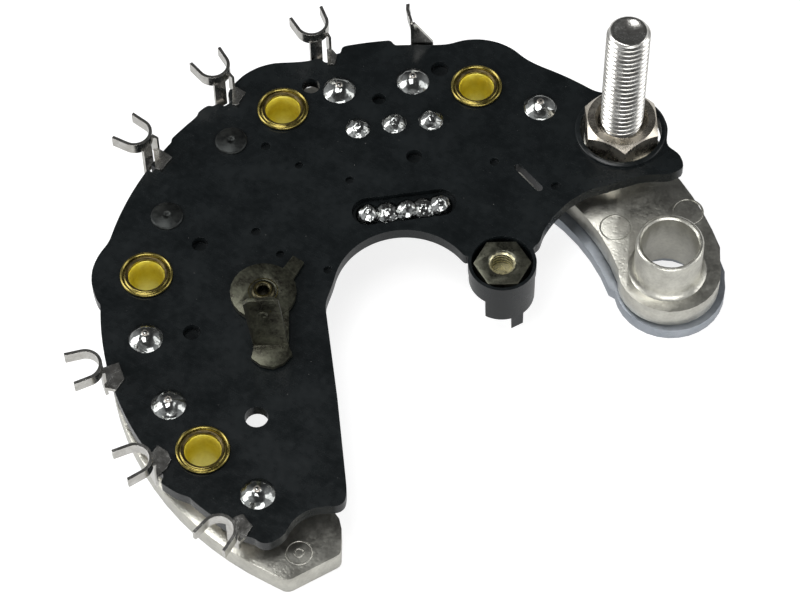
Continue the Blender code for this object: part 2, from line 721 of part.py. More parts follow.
def make_joint(name, x, y, hole, radius, height, look, steps=12):
    """Solder round a lead: a low dome with the lead's hole through it."""
    base = BOARD_TOP + FIT
    profile = [(hole, base + height), (hole + (radius - hole) * 0.35, base + height * 0.93)]
    profile += [(hole + (radius - hole) * 0.72, base + height * 0.58), (radius, base + height * 0.12)]
    profile += [(radius, base), (hole, base)]
    return place(name, turned(name, profile, x, y, steps, closed=True), look)


def make_link(name, start, end, index, look):
    """Flat strip round the pitch circle with a tab to each lead and a pad under each foot."""
    pads = []
    for angle, sink, dome in DIODES:
        if abs(angle - start) < 0.01 or abs(angle - end) < 0.01:
            pads.append((angle, math.degrees(LINK_TAB_HALF / PITCH_R), PITCH_R - LINK_TAB_REACH))
    for entry in FORKS:
        if entry[-1] == index:
            x, y = foot_place(entry)
            half = math.degrees((FOOT_WIDTH / 2 + 0.0004) / FORK_ROOT_R)
            pads.append((math.degrees(math.atan2(y, x)) % 360, half, min(LINK_INNER_R, math.hypot(x, y) - 0.0008)))
    edges = sorted({angle + turn * half for angle, half, inner in pads for turn in (-1, 1)})
    points = [polar(LINK_OUTER_R, edges[0] + (edges[-1] - edges[0]) * i / 10) for i in range(11)]
    back = []
    for low, high in zip(edges, edges[1:]):
        middle = (low + high) / 2
        size = min([LINK_INNER_R] + [inner for angle, half, inner in pads if abs(middle - angle) < half])
        count = max(1, round((high - low) / 4))
        back += [polar(size, low + (high - low) * i / count) for i in range(count + 1)]
    back = [spot for i, spot in enumerate(back) if i == 0 or math.dist(spot, back[i - 1]) > 0.00005]
    points += reversed(back)
    holes = [circle(*polar(PITCH_R, angle), LEAD_R + FIT, 8) for angle in (start, end)]
    return place(name, slab(name, [points] + holes, LINK_BASE, LINK_TOP), look)


def make_bush(number, angle, look):
    """Flanged insulating bush: its flange lies between the heat sinks and its tube in the upper one."""
    inner = EYELET_R + FIT
    profile = [(BUSH_R, UPPER_TOP), (BUSH_R, UPPER_BASE - FIT), (BUSH_FLANGE_R, UPPER_BASE - FIT)]
    profile += [(BUSH_FLANGE_R, LOWER_THICK + FIT), (inner, LOWER_THICK + FIT), (inner, UPPER_TOP)]
    return place(f"insulating_bush_{number}", turned("bush", profile, *polar(PITCH_R, angle), 12, True), look)


def make_eyelet(number, angle, look):
    top = BOARD_TOP + FIT
    crown = top + EYELET_RIM_THICK
    seat = EYELET_COUNTERBORE - FIT
    foot = seat - EYELET_RIM_THICK
    profile = [(EYELET_R, crown), (EYELET_RIM_R - 0.0003, crown), (EYELET_RIM_R, top)]
    profile += [(EYELET_R, top), (EYELET_R, seat), (EYELET_RIM_R, seat)]
    profile += [(EYELET_RIM_R, foot), (EYELET_BORE_R, foot), (EYELET_BORE_R, crown - 0.0003)]
    return place(f"eyelet_{number}", turned("eyelet", profile, *polar(PITCH_R, angle), 18, True), look)


# Stud, nut and the post's plate

def make_stud(look):
    head_top = UPPER_BASE - FIT
    head_base = head_top - STUD_HEAD_THICK
    profile = [(0.0, STUD_TOP - 0.0006), (STUD_R * 0.62, STUD_TOP), (STUD_R * 0.80, STUD_TOP)]
    profile += [(STUD_R, STUD_TOP - 0.0008), (STUD_R, head_top), (STUD_HEAD_R, head_top)]
    profile += [(STUD_HEAD_R, head_base + 0.0004), (STUD_HEAD_R - 0.0004, head_base), (0.0, head_base)]
    return place("output_stud", turned("output_stud", profile, STUD_X, STUD_Y, 24), look)


def make_nut(look):
    base = BOARD_BASE + FIT
    top = base + NUT_HEIGHT
    corner = NUT_FLATS / 2 / math.cos(math.radians(30))
    outline = arc(STUD_X, STUD_Y, corner, NUT_TURN, NUT_TURN + 300, 5)
    nut = place("hex_nut", slab("hex_nut", [outline], base, top), look)
    flat = NUT_FLATS / 2 * 0.97
    dome = [(0.0, top), (flat, top), (corner + 0.0002, top - (corner - flat) * 0.62)]
    dome += [(corner + 0.0002, base + (corner - flat) * 0.62), (flat, base), (0.0, base)]
    combine(nut, place("nut_chamfer", turned("nut_chamfer", dome, STUD_X, STUD_Y, 24)), "INTERSECT")
    bore = [(0.0, top + 0.001), (STUD_R + FIT + 0.0009 + 0.001, top + 0.001), (STUD_R + FIT, top - 0.0009)]
    bore += [(STUD_R + FIT, base - 0.001), (0.0, base - 0.001)]
    cut(nut, "nut_bore", turned("nut_bore", bore, STUD_X, STUD_Y, 16))
    return nut


def make_tapped_plate(look):
    """Six-cornered tapped plate that rests on the post's floor."""
    outline = arc(POST_X, POST_Y, TAP_PLATE_R, 0, 300, 5)
    base = POST_FLOOR + FIT
    plate = place("post_tapped_plate", slab("post_tapped_plate", [outline], base, TAP_PLATE_TOP), look)
    bore = [(0.0, TAP_PLATE_TOP + 0.0005), (TAP_R + 0.0011, TAP_PLATE_TOP + 0.0005)]
    bore += [(TAP_R, TAP_PLATE_TOP - 0.0006), (TAP_R, base - 0.0005), (0.0, base - 0.0005)]
    cut(plate, "tap_bore", turned("tap_bore", bore, POST_X, POST_Y, 16))
    return plate


# Field diodes and their strap

def strap_line():
    """Ends of the strap's leg, from the last joint of the slot to the edge of the tapped plate."""
    start = Vector(FIELD_PAIRS[2][1])
    post = Vector((POST_X, POST_Y))
    return start, post + (start - post).normalized() * (TAP_PLATE_R + FIT)


def strap_window():
    """Opening of the post's wall that the strap enters through."""
    start, end = strap_line()
    way = (end - start).normalized()
    side = Vector((-way.y, way.x)) * (STRAP_HALF + FIT)
    near = end - way * 0.0030
    far = end + way * 0.0008
    return [tuple(near - side), tuple(far - side), tuple(far + side), tuple(near + side)]


def make_strap(look):
    start, end = strap_line()
    way = (end - start).normalized()
    side = Vector((-way.y, way.x)) * (STRAP_HALF - 0.0002)
    spots = [pair[1] for pair in FIELD_PAIRS]
    bar = stadium(spots[0], spots[2], STRAP_HALF, 5)
    holes = [circle(*spot, FIELD_LEAD_R + FIT, 8) for spot in spots]
    strap = place("field_strap", slab("field_strap", [bar] + holes, LINK_BASE, LINK_TOP), look)
    near = start + way * (FIELD_LEAD_R + 0.0008)
    leg = [tuple(near - side), tuple(end - side), tuple(end + side), tuple(near + side)]
    join(strap, "field_strap_leg", slab("field_strap_leg", [leg], LINK_BASE + 0.00005, LINK_TOP - 0.00005))
    return strap


def make_field_diode(number, outer, inner, look):
    """Small diode on a wire that is bent up at both ends."""
    first = Vector((*outer, 0.0))
    last = Vector((*inner, 0.0))
    way = (last - first).normalized()
    turn = 0.0009
    heights = (BOARD_TOP + FIT + SMALL_JOINT_HEIGHT + 0.0002, BOARD_TOP - SLOT_DEPTH + 0.0026)
    path = [first + Vector((0, 0, heights[0]))]
    for corner, side, order in ((first, way, (0, 1, 2)), (last, -way, (2, 1, 0))):
        for step in order:
            bend = math.radians(45 * step)
            height = FIELD_AXIS + turn * (1 - math.sin(bend))
            path.append(corner + side * turn * (1 - math.cos(bend)) + Vector((0, 0, height)))
    path.append(last + Vector((0, 0, heights[1])))
    curve = bpy.data.curves.new("field_wire", "CURVE")
    curve.dimensions = "3D"
    curve.bevel_depth = FIELD_LEAD_R
    curve.bevel_resolution = 1
    curve.use_fill_caps = True
    spline = curve.splines.new("POLY")
    spline.points.add(len(path) - 1)
    for point, spot in zip(spline.points, path):
        point.co = (*spot, 1.0)
    name = f"field_diode_{number}"
    diode = place(name, settled(bpy.data.objects.new(name, curve)), look)
    body = rods(name + "_body", [(0.0, 0.0, FIELD_DIODE_R)], -FIELD_DIODE_LENGTH / 2, FIELD_DIODE_LENGTH / 2, 12)
    heading = math.atan2(way.y, way.x)
    middle = (first + last) / 2 + Vector((0, 0, FIELD_AXIS))
    lie = Matrix.Rotation(heading, 4, "Z") @ Matrix.Rotation(math.radians(90), 4, "Y")
    body.transform(Matrix.Translation(middle) @ lie)
    join(diode, name + "_body", body)
    return diode


def make_long_joint(look):
    """Solder that runs along the slot, higher round each of its three leads."""
    spots = [pair[1] for pair in FIELD_PAIRS]
    base = BOARD_TOP - SLOT_DEPTH + FIT
    floor = stadium(spots[0], spots[2], SMALL_JOINT_R - 0.0003, 6)
    joint = place("long_solder_joint", slab("long_solder_joint", [floor], base, base + LONG_JOINT_THICK), look)
    lump = [(radius, base + height) for radius, height in LUMP]
    for number, spot in enumerate(spots, 1):
        join(joint, f"long_joint_lump_{number}", turned("lump", lump, *spot, 10))
    holes = [(*spot, FIELD_LEAD_R + FIT) for spot in spots]
    top = base + LUMP[0][1]
    cut(joint, "long_joint_holes", rods("long_joint_holes", holes, base - 0.001, top + 0.001, 8))
    return joint


# Blade terminal

def make_spade(look):
    low = BOARD_TOP + FIT
    disc = place("blade_terminal", slab("blade_terminal", [circle(SPADE_X, SPADE_Y, SPADE_DISC_R, 24)], low,
                                        low + SPADE_DISC_THICK), look)
    lug = [(SPADE_X + x, SPADE_Y + y) for x, y in SPADE_LUG]
    join(disc, "blade_lug", slab("blade_lug", [lug], low + 0.00005, low + SPADE_FOOT_THICK))
    half = BLADE_WIDTH / 2
    near = SPADE_Y - SPADE_DISC_R * 0.6
    foot = [(BLADE_X - half, near), (BLADE_X - half, BLADE_Y - 0.0010)]
    foot += [(BLADE_X + x, BLADE_Y + y) for x, y in BLADE_FOOT]
    foot += [(BLADE_X + half, BLADE_Y - 0.0005), (BLADE_X + half, near)]
    join(disc, "blade_foot", slab("blade_foot", [foot], low + 0.0001, low + SPADE_FOOT_THICK + 0.0001))
    length = BLADE_TOP - low
    blade = [(-half, 0.0002), (half, 0.0002), (half, length - 0.0010), (half - 0.0010, length)]
    blade += [(-half + 0.0010, length), (-half, length - 0.0010)]
    hole = circle(0.0, length - BLADE_HOLE_DROP, BLADE_HOLE_R, 12)
    mesh = slab("blade_body", [blade, hole], -BLADE_THICK / 2, BLADE_THICK / 2)
    stand = Matrix.Rotation(math.radians(-BLADE_LEAN), 4, "Y") @ Matrix.Rotation(math.radians(90), 4, "X")
    mesh.transform(Matrix.Translation((BLADE_X, BLADE_Y, low)) @ stand)
    join(disc, "blade_body", mesh)
    hole = [(SPADE_X, SPADE_Y, RIVET_R + FIT)]
    cut(disc, "blade_rivet_hole", rods("blade_rivet_hole", hole, low - 0.001, low + 0.003, 14))
    return disc


def make_rivet(look):
    seat = BOARD_TOP + FIT + SPADE_DISC_THICK + FIT
    foot = BOARD_BASE - FIT
    profile = [(RIVET_BORE_R + 0.0002, seat + 0.0006), (RIVET_HEAD_R - 0.0003, seat + 0.0005)]
    profile += [(RIVET_HEAD_R, seat), (RIVET_R, seat), (RIVET_R, foot), (RIVET_HEAD_R, foot)]
    profile += [(RIVET_HEAD_R, foot - 0.0005), (RIVET_BORE_R, foot - 0.0005), (RIVET_BORE_R, seat + 0.0003)]
    return place("blade_rivet", turned("blade_rivet", profile, SPADE_X, SPADE_Y, 12, True), look)


def centre_part():
    """Move the carrying empty so that the origin lies under the middle of the part's bounding box."""
    bpy.context.view_layer.update()
    graph = bpy.context.evaluated_depsgraph_get()
    corners = []
    for piece in parts.objects:
        if piece.type == "MESH":
            made = piece.evaluated_get(graph)
            corners += [made.matrix_world @ vertex.co for vertex in made.data.vertices]
    for axis in (0, 1):
        values = [corner[axis] for corner in corners]
        root.location[axis] = -(min(values) + max(values)) / 2
    root.location.z = -min(corner.z for corner in corners)
    bpy.context.view_layer.update()


def main():
    start_scene()
    plastic = material("board_plastic", (0.012, 0.013, 0.014), 0.35, 0.0)
    cast = material("cast_metal", (0.56, 0.55, 0.52), 0.55, 1.0)
    plate = material("plate_metal", (0.50, 0.53, 0.56), 0.40, 1.0)
    tin = material("tinned_strip", (0.62, 0.62, 0.60), 0.30, 1.0)
    gold = material("eyelet_brass", (0.72, 0.55, 0.20), 0.30, 1.0)
    solder = material("solder", (0.66, 0.67, 0.68), 0.22, 1.0)
    steel = material("plated_steel", (0.60, 0.60, 0.58), 0.25, 1.0)
    dark = material("dark_strip", (0.16, 0.16, 0.15), 0.42, 1.0)
    copper = material("diode_metal", (0.60, 0.58, 0.55), 0.35, 1.0)
    bush = material("bush_plastic", (0.35, 0.33, 0.28), 0.55, 0.0)
    glass = material("diode_moulding", (0.05, 0.05, 0.05), 0.45, 0.0)

    make_lower_sink(plate)
    make_upper_sink(cast)
    make_board(plastic)
    for number, (angle, sink, dome) in enumerate(DIODES, 1):
        make_diode(number, angle, sink, dome, copper)
        x, y = polar(PITCH_R, angle)
        if dome:
            make_joint(f"solder_joint_{number}", x, y, LEAD_R + FIT, DOME_R, DOME_HEIGHT, solder)
        else:
            make_joint(f"solder_joint_{number}", x, y, LEAD_R + FIT, DISC_R, DISC_HEIGHT, solder)
    for index, (name, start, end) in enumerate(LINKS):
        make_link(name, start, end, index, copper)
    for entry in FORKS:
        make_fork(entry, tin)
    make_hook(tin)
    for number, (angle, lobe) in enumerate(EYELETS, 1):
        make_eyelet(number, angle, gold)
        make_bush(number, angle, bush)
    make_stud(steel)
    make_nut(steel)
    make_tapped_plate(dark)
    make_strap(copper)
    for number, (outer, inner) in enumerate(FIELD_PAIRS, 1):
        make_field_diode(number, outer, inner, glass)
        make_joint(f"small_solder_joint_{number}", *outer, FIELD_LEAD_R + FIT, SMALL_JOINT_R,
                   SMALL_JOINT_HEIGHT, solder, 10)
    make_long_joint(solder)
    make_spade(dark)
    make_rivet(gold)
    centre_part()


main()
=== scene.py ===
# %% [markdown]
# An alternator rectifier turns the three-phase current of a vehicle's alternator into direct
# current. This lesson dresses its measured solids: a black moulded board over two heat sinks,
# with fork terminals, gold eyelets, solder joints and a threaded output stud. Every size is in
# millimetres in one drawing, whose centre is the centre of the circle that the eyelets lie on.

# %% Load the measured frame
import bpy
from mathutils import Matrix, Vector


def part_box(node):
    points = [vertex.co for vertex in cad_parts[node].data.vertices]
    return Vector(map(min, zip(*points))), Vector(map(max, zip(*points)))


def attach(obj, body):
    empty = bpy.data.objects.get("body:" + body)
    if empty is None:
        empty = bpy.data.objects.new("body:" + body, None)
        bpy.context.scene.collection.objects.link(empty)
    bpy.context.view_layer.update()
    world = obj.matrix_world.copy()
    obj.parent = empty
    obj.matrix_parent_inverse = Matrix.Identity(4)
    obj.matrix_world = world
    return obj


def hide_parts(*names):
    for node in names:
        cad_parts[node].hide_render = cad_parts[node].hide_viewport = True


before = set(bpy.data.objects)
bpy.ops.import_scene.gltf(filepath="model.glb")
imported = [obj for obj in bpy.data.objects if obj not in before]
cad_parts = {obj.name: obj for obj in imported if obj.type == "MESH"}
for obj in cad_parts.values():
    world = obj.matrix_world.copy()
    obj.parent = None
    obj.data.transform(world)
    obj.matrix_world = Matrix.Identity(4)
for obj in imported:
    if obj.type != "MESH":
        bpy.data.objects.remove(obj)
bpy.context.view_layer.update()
print("measured solids:", len(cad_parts))

# %% [markdown]
# The drawing is in millimetres and the measured frame in metres. The stud is known in both, so it
# ties them together, and two matrices carry meshes there and back.

# %% Modules and the drawing's place in the frame
import math

import bmesh
import bpy
from mathutils import Matrix, Vector

STUD = (39.2, 36.2)
MM = 0.001
stud_low, stud_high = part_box("output_stud")
stud_middle = (stud_low + stud_high) / 2
centre = (stud_middle.x - STUD[0] * MM, stud_middle.y - STUD[1] * MM, 0)
to_part = Matrix.Translation(centre) @ Matrix.Scale(MM, 4)
to_drawing = to_part.inverted()
scene = bpy.context.scene
print("drawing centre in the part, mm:", [round(v / MM, 2) for v in to_part.translation])

# %% [markdown]
# The heights of the stack come from the frame, so the lesson still fits if a thickness changes.
# Eyelets and diodes lie on one circle, counted from the stud round to the left limb. Two of the
# diodes have flat solder joints, the others bright domes.

# %% Heights of the stack
def height(node, top=True):
    """Lowest or highest level of a measured solid, in millimetres."""
    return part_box(node)[1 if top else 0].z / MM


EYELET_PROUD = 0.8
BOARD_THICK = 2.5
SINK_GAP = 1.0
CASTING_THICK = 4.5
BOARD_TOP = height("eyelet_1") - EYELET_PROUD
BOARD_BASE = BOARD_TOP - BOARD_THICK
SINK_TOP = height("lower_heat_sink") + SINK_GAP + CASTING_THICK
PITCH = 48.7
EYELET_ANGLES = (75.0, 119.3, 173.3, 219.8)
DIODE_ANGLES = (59.9, 89.2, 105.8, 133.4, 157.5, 189.1, 206.4, 235.3)
FLAT_JOINTS = (4, 5)
print("board from", round(BOARD_BASE, 2), "to", round(BOARD_TOP, 2))
print("top of the upper heat sink at", round(SINK_TOP, 2))

# %% [markdown]
# The camera stands where the photographer stood: straight in front, 57 degrees above the table
# and rolled by one degree. A long lens keeps the far fork terminals nearly as large as the near
# ones, as the photograph does.

# %% Camera
ELEVATION = 57.0
ROLL = -1.0
DISTANCE = 558.56
AIM = Vector((-2.5, -0.5, 15.5))
camera = bpy.data.objects.new("camera", bpy.data.cameras.new("camera"))
scene.collection.objects.link(camera)
camera.data.sensor_width = 36.0
camera.data.lens = 139.5
tilt = math.radians(90 - ELEVATION)
back = Vector((0, -math.cos(math.radians(ELEVATION)), math.sin(math.radians(ELEVATION))))
camera.matrix_world = (Matrix.Translation(to_part @ (AIM + back * DISTANCE))
                       @ Matrix.Rotation(tilt, 4, "X") @ Matrix.Rotation(math.radians(ROLL), 4, "Z"))
scene.camera = camera
print("camera at", [round(v, 3) for v in camera.matrix_world.translation])

# %% [markdown]
# A material is a small web of nodes. Helpers keep that web readable: put makes a node and sets its
# inputs, wire links a socket to an input or types a value into it, and the others make the nodes
# that are needed most.

# %% Node helpers
def put(tree, kind, props=None, **values):
    """A new node with its properties and inputs set; underscores stand for spaces in input names."""
    made = tree.nodes.new(kind)
    for key, value in (props or {}).items():
        setattr(made, key, value)
    for key, value in values.items():
        wire(tree, value, made.inputs[key.replace("_", " ")])
    return made


def wire(tree, value, socket):
    """Link a socket to an input, or type a value into it; a colour gets its alpha."""
    if isinstance(value, bpy.types.NodeSocket):
        tree.links.new(value, socket)
    elif isinstance(value, tuple) and len(value) == 3 and socket.type == "RGBA":
        socket.default_value = (*value, 1.0)
    else:
        socket.default_value = value


def calc(tree, operation, a, b=0.0):
    """A Math node; each operand is a number or a socket."""
    made = put(tree, "ShaderNodeMath", {"operation": operation})
    for socket, value in zip(made.inputs, (a, b)):
        wire(tree, value, socket)
    return made.outputs[0]


def remap(tree, value, low, high, to_low=0.0, to_high=1.0, smooth=False):
    """Spread the range low to high over another range, and hold the result inside it."""
    made = put(tree, "ShaderNodeMapRange", {"interpolation_type": "SMOOTHSTEP" if smooth else "LINEAR"},
               Value=value, From_Min=low, From_Max=high, To_Min=to_low, To_Max=to_high)
    return made.outputs["Result"]


def blend(tree, factor, a, b):
    """Mix two colours."""
    made = put(tree, "ShaderNodeMix", {"data_type": "RGBA"})
    wire(tree, factor, made.inputs["Factor"])
    colours = [socket for socket in made.inputs if socket.type == "RGBA"]
    wire(tree, a, colours[0])
    wire(tree, b, colours[1])
    return [socket for socket in made.outputs if socket.type == "RGBA"][0]


def new_group(name, inputs, outputs):
    """An empty shader group with named sockets; returns the tree, its input sockets and its end node."""
    tree = bpy.data.node_groups.new(name, "ShaderNodeTree")
    for title, kind, default in inputs:
        socket = tree.interface.new_socket(name=title, in_out="INPUT", socket_type=kind)
        socket.default_value = default
    for title, kind in outputs:
        tree.interface.new_socket(name=title, in_out="OUTPUT", socket_type=kind)
    start = tree.nodes.new("NodeGroupInput")
    end = tree.nodes.new("NodeGroupOutput")
    return tree, start.outputs, end


print("node helpers ready")

# %% [markdown]
# No real surface is one colour. Cloudy noise at two sizes moves the colour and the roughness of
# every finish here a little, so one group makes it and each material gives its own two colours.
# Object coordinates pin the pattern to the part.

# %% Group: mottle
FLOAT, COLOUR = "NodeSocketFloat", "NodeSocketColor"
mottle, given, end = new_group(
    "mottle",
    (("Size", FLOAT, 4.0), ("Dark", COLOUR, (0.1, 0.1, 0.1, 1)), ("Light", COLOUR, (0.2, 0.2, 0.2, 1)),
     ("Smoothest", FLOAT, 0.3), ("Roughest", FLOAT, 0.5)),
    (("Colour", COLOUR), ("Roughness", FLOAT)))
place = put(mottle, "ShaderNodeTexCoord").outputs["Object"]
frequency = calc(mottle, "DIVIDE", 1 / MM, given["Size"])
broad = put(mottle, "ShaderNodeTexNoise", Vector=place, Scale=frequency, Detail=3.0, Roughness=0.55)
fine = put(mottle, "ShaderNodeTexNoise", Vector=place, Scale=calc(mottle, "MULTIPLY", frequency, 5.3),
           Detail=2.0, Roughness=0.5)
mixed = calc(mottle, "ADD", calc(mottle, "MULTIPLY", broad.outputs["Fac"], 0.65),
             calc(mottle, "MULTIPLY", fine.outputs["Fac"], 0.35))
spread = remap(mottle, mixed, 0.36, 0.64)
wire(mottle, blend(mottle, spread, given["Dark"], given["Light"]), end.inputs["Colour"])
wire(mottle, remap(mottle, spread, 0.0, 1.0, given["Smoothest"], given["Roughest"]), end.inputs["Roughness"])
print("group:", mottle.name)

# %% [markdown]
# Handling leaves hairline scratches and a little dust. The scratches are noise squeezed hard in
# one direction, of which only a thin band of values is kept. The dust is a Voronoi pattern cut
# off close to its cell centres.

# %% Group: handling marks
marks, given, end = new_group(
    "handling_marks", (("Size", FLOAT, 6.0), ("Turn", FLOAT, 0.0), ("Dust", FLOAT, 0.1)),
    (("Scratch", FLOAT), ("Speck", FLOAT)))
place = put(marks, "ShaderNodeTexCoord").outputs["Object"]
turned_place = put(marks, "ShaderNodeVectorRotate", {"rotation_type": "Z_AXIS"}, Vector=place,
                   Angle=given["Turn"])
squeezed = put(marks, "ShaderNodeVectorMath", {"operation": "MULTIPLY"})
wire(marks, turned_place.outputs["Vector"], squeezed.inputs[0])
squeezed.inputs[1].default_value = (1.0, 14.0, 3.0)
frequency = calc(marks, "DIVIDE", 1 / MM, given["Size"])
lines = put(marks, "ShaderNodeTexNoise", Vector=squeezed.outputs["Vector"], Scale=frequency, Detail=4.0,
            Roughness=0.6)
distance = calc(marks, "ABSOLUTE", calc(marks, "SUBTRACT", lines.outputs["Fac"], 0.5))
wire(marks, remap(marks, distance, 0.0, 0.012, 1.0, 0.0), end.inputs["Scratch"])
cells = put(marks, "ShaderNodeTexVoronoi", Vector=place, Scale=calc(marks, "MULTIPLY", frequency, 4.0),
            Randomness=1.0)
patch = put(marks, "ShaderNodeTexNoise", Vector=place, Scale=calc(marks, "MULTIPLY", frequency, 0.6))
limit = calc(marks, "MULTIPLY", patch.outputs["Fac"], given["Dust"])
speck = calc(marks, "LESS_THAN", cells.outputs["Distance"], limit)
wire(marks, speck, end.inputs["Speck"])
print("group:", marks.name)

# %% [markdown]
# Cast, rolled and moulded skins differ in their grain: pits as large as a grain of sand on the
# casting, and hardly any on the moulded board. The group gives a height, and each material turns
# it into a bump of its own depth.

# %% Group: skin grain
grain, given, end = new_group(
    "skin_grain", (("Size", FLOAT, 0.6), ("Pits", FLOAT, 0.5)), (("Height", FLOAT),))
place = put(grain, "ShaderNodeTexCoord").outputs["Object"]
frequency = calc(grain, "DIVIDE", 1 / MM, given["Size"])
soft = put(grain, "ShaderNodeTexNoise", Vector=place, Scale=frequency, Detail=3.0, Roughness=0.6)
cells = put(grain, "ShaderNodeTexVoronoi", Vector=place, Scale=calc(grain, "MULTIPLY", frequency, 0.8))
pit = remap(grain, cells.outputs["Distance"], 0.0, 0.45)
wire(grain, calc(grain, "ADD", calc(grain, "MULTIPLY", pit, given["Pits"]), soft.outputs["Fac"]),
     end.inputs["Height"])
print("group:", grain.name)

# %% [markdown]
# Most finishes are then the same recipe with other numbers: mottled colour and roughness,
# scratches that lighten or darken them, and a grain that bumps the surface. The recipe is a
# function, so that each finish is one call with its own values.

# %% Recipe for a finish
def finish(name, dark, light, rough, size=4.0, metallic=0.0, grain_size=0.6, pits=0.5, bump=0.15, depth=0.05,
           scratch=(0.5, 0.5, 0.5), scratch_share=0.15, mark_size=6.0, turn=0.0, dust=0.0, specular=0.5):
    """A material from the three groups; sizes and depths are in millimetres."""
    made = bpy.data.materials.new(name)
    made.use_nodes = True
    tree = made.node_tree
    skin = tree.nodes["Principled BSDF"]
    base = put(tree, "ShaderNodeGroup", {"node_tree": mottle}, Size=size, Dark=dark, Light=light,
               Smoothest=rough[0], Roughest=rough[1])
    worn = put(tree, "ShaderNodeGroup", {"node_tree": marks}, Size=mark_size, Turn=turn, Dust=dust)
    share = calc(tree, "MULTIPLY", worn.outputs["Scratch"], scratch_share)
    colour = blend(tree, share, base.outputs["Colour"], scratch)
    if dust:
        colour = blend(tree, calc(tree, "MULTIPLY", worn.outputs["Speck"], 0.5), colour, (0.35, 0.34, 0.32))
    wire(tree, colour, skin.inputs["Base Color"])
    wire(tree, calc(tree, "ADD", base.outputs["Roughness"], calc(tree, "MULTIPLY", share, 0.25)),
         skin.inputs["Roughness"])
    skin.inputs["Metallic"].default_value = metallic
    skin.inputs["Specular IOR Level"].default_value = specular
    texture = put(tree, "ShaderNodeGroup", {"node_tree": grain}, Size=grain_size, Pits=pits)
    relief = put(tree, "ShaderNodeBump", Strength=bump, Distance=depth * MM, Height=texture.outputs["Height"])
    wire(tree, relief.outputs["Normal"], skin.inputs["Normal"])
    made.diffuse_color = (*light, 1.0)
    return made


print("finish recipe ready")

# %% [markdown]
# The colours are read from the photograph. The board is glass-filled black resin, almost
# black with a bluish tone. The casting is a warm light grey, the rolled plate below it cooler and
# smoother. The strips are tinned, the nut is zinc plated with a faint straw tone, and the eyelets
# are brass that has turned golden.

# %% Finishes of moulding and heat sinks
board_black = finish("board_moulding", (0.0052, 0.0068, 0.0074), (0.0090, 0.0115, 0.0125), (0.20, 0.33),
                     size=7.0, grain_size=0.5, pits=0.3, bump=0.08, depth=0.03,
                     scratch=(0.06, 0.06, 0.062), scratch_share=0.08, mark_size=9.0, turn=0.6, dust=0.045,
                     specular=0.35)
cast_grey = finish("cast_aluminium", (0.48, 0.47, 0.42), (0.66, 0.65, 0.585), (0.28, 0.42), size=3.0,
                   metallic=0.95, grain_size=0.55, pits=0.8, bump=0.4, depth=0.06,
                   scratch=(0.72, 0.70, 0.66), scratch_share=0.25, mark_size=7.0, turn=1.1)
plate_grey = finish("rolled_plate", (0.34, 0.37, 0.41), (0.45, 0.48, 0.52), (0.34, 0.46), size=6.0,
                    metallic=0.8, grain_size=0.9, pits=0.2, bump=0.12, depth=0.03,
                    scratch=(0.62, 0.64, 0.66), scratch_share=0.3, mark_size=8.0)
print("finishes so far:", len([m for m in bpy.data.materials if m.node_tree]))

# %% Finishes of strip, stud and nut
tinned = finish("tinned_strip", (0.50, 0.485, 0.45), (0.68, 0.67, 0.64), (0.12, 0.24), size=1.6,
                metallic=1.0, grain_size=0.5, pits=0.3, bump=0.08, depth=0.02, scratch=(0.30, 0.29, 0.26),
                scratch_share=0.3, mark_size=3.0)
stud_steel = finish("stud_plating", (0.60, 0.58, 0.54), (0.78, 0.77, 0.74), (0.14, 0.28), size=2.0,
                    metallic=1.0, grain_size=0.4, pits=0.3, bump=0.10, depth=0.02,
                    scratch=(0.35, 0.33, 0.30), scratch_share=0.25, mark_size=3.0)
nut_plating = finish("nut_plating", (0.50, 0.455, 0.38), (0.68, 0.63, 0.55), (0.20, 0.34), size=2.5,
                     metallic=1.0, grain_size=0.4, pits=0.3, bump=0.12, depth=0.03,
                     scratch=(0.80, 0.76, 0.68), scratch_share=0.3, mark_size=3.0, turn=0.4)
dark_tin = finish("dark_strip", (0.034, 0.032, 0.024), (0.105, 0.108, 0.078), (0.26, 0.44), size=2.6,
                  metallic=0.85, grain_size=0.5, pits=0.4, bump=0.15, depth=0.03,
                  scratch=(0.30, 0.29, 0.23), scratch_share=0.35, mark_size=3.5, turn=0.9)
tapped_zinc = finish("tapped_insert", (0.055, 0.056, 0.042), (0.15, 0.15, 0.115), (0.26, 0.42), size=1.6,
                     metallic=0.9, grain_size=0.4, pits=0.4, bump=0.15, depth=0.03,
                     scratch=(0.45, 0.44, 0.36), scratch_share=0.3, mark_size=2.5)
insert_brass = finish("insert_brass", (0.50, 0.46, 0.27), (0.82, 0.77, 0.52), (0.24, 0.36), size=1.0,
                      metallic=0.8, grain_size=0.4, pits=0.3, bump=0.1, depth=0.02,
                      scratch=(0.25, 0.22, 0.12), mark_size=2.0)
rivet_brass = finish("rivet_brass", (0.030, 0.028, 0.018), (0.085, 0.075, 0.045), (0.24, 0.40), size=1.0,
                     metallic=1.0, grain_size=0.4, pits=0.3, bump=0.12, depth=0.02,
                     scratch=(0.10, 0.08, 0.04), scratch_share=0.3, mark_size=2.0)
print("finishes so far:", len([m for m in bpy.data.materials if m.node_tree]))

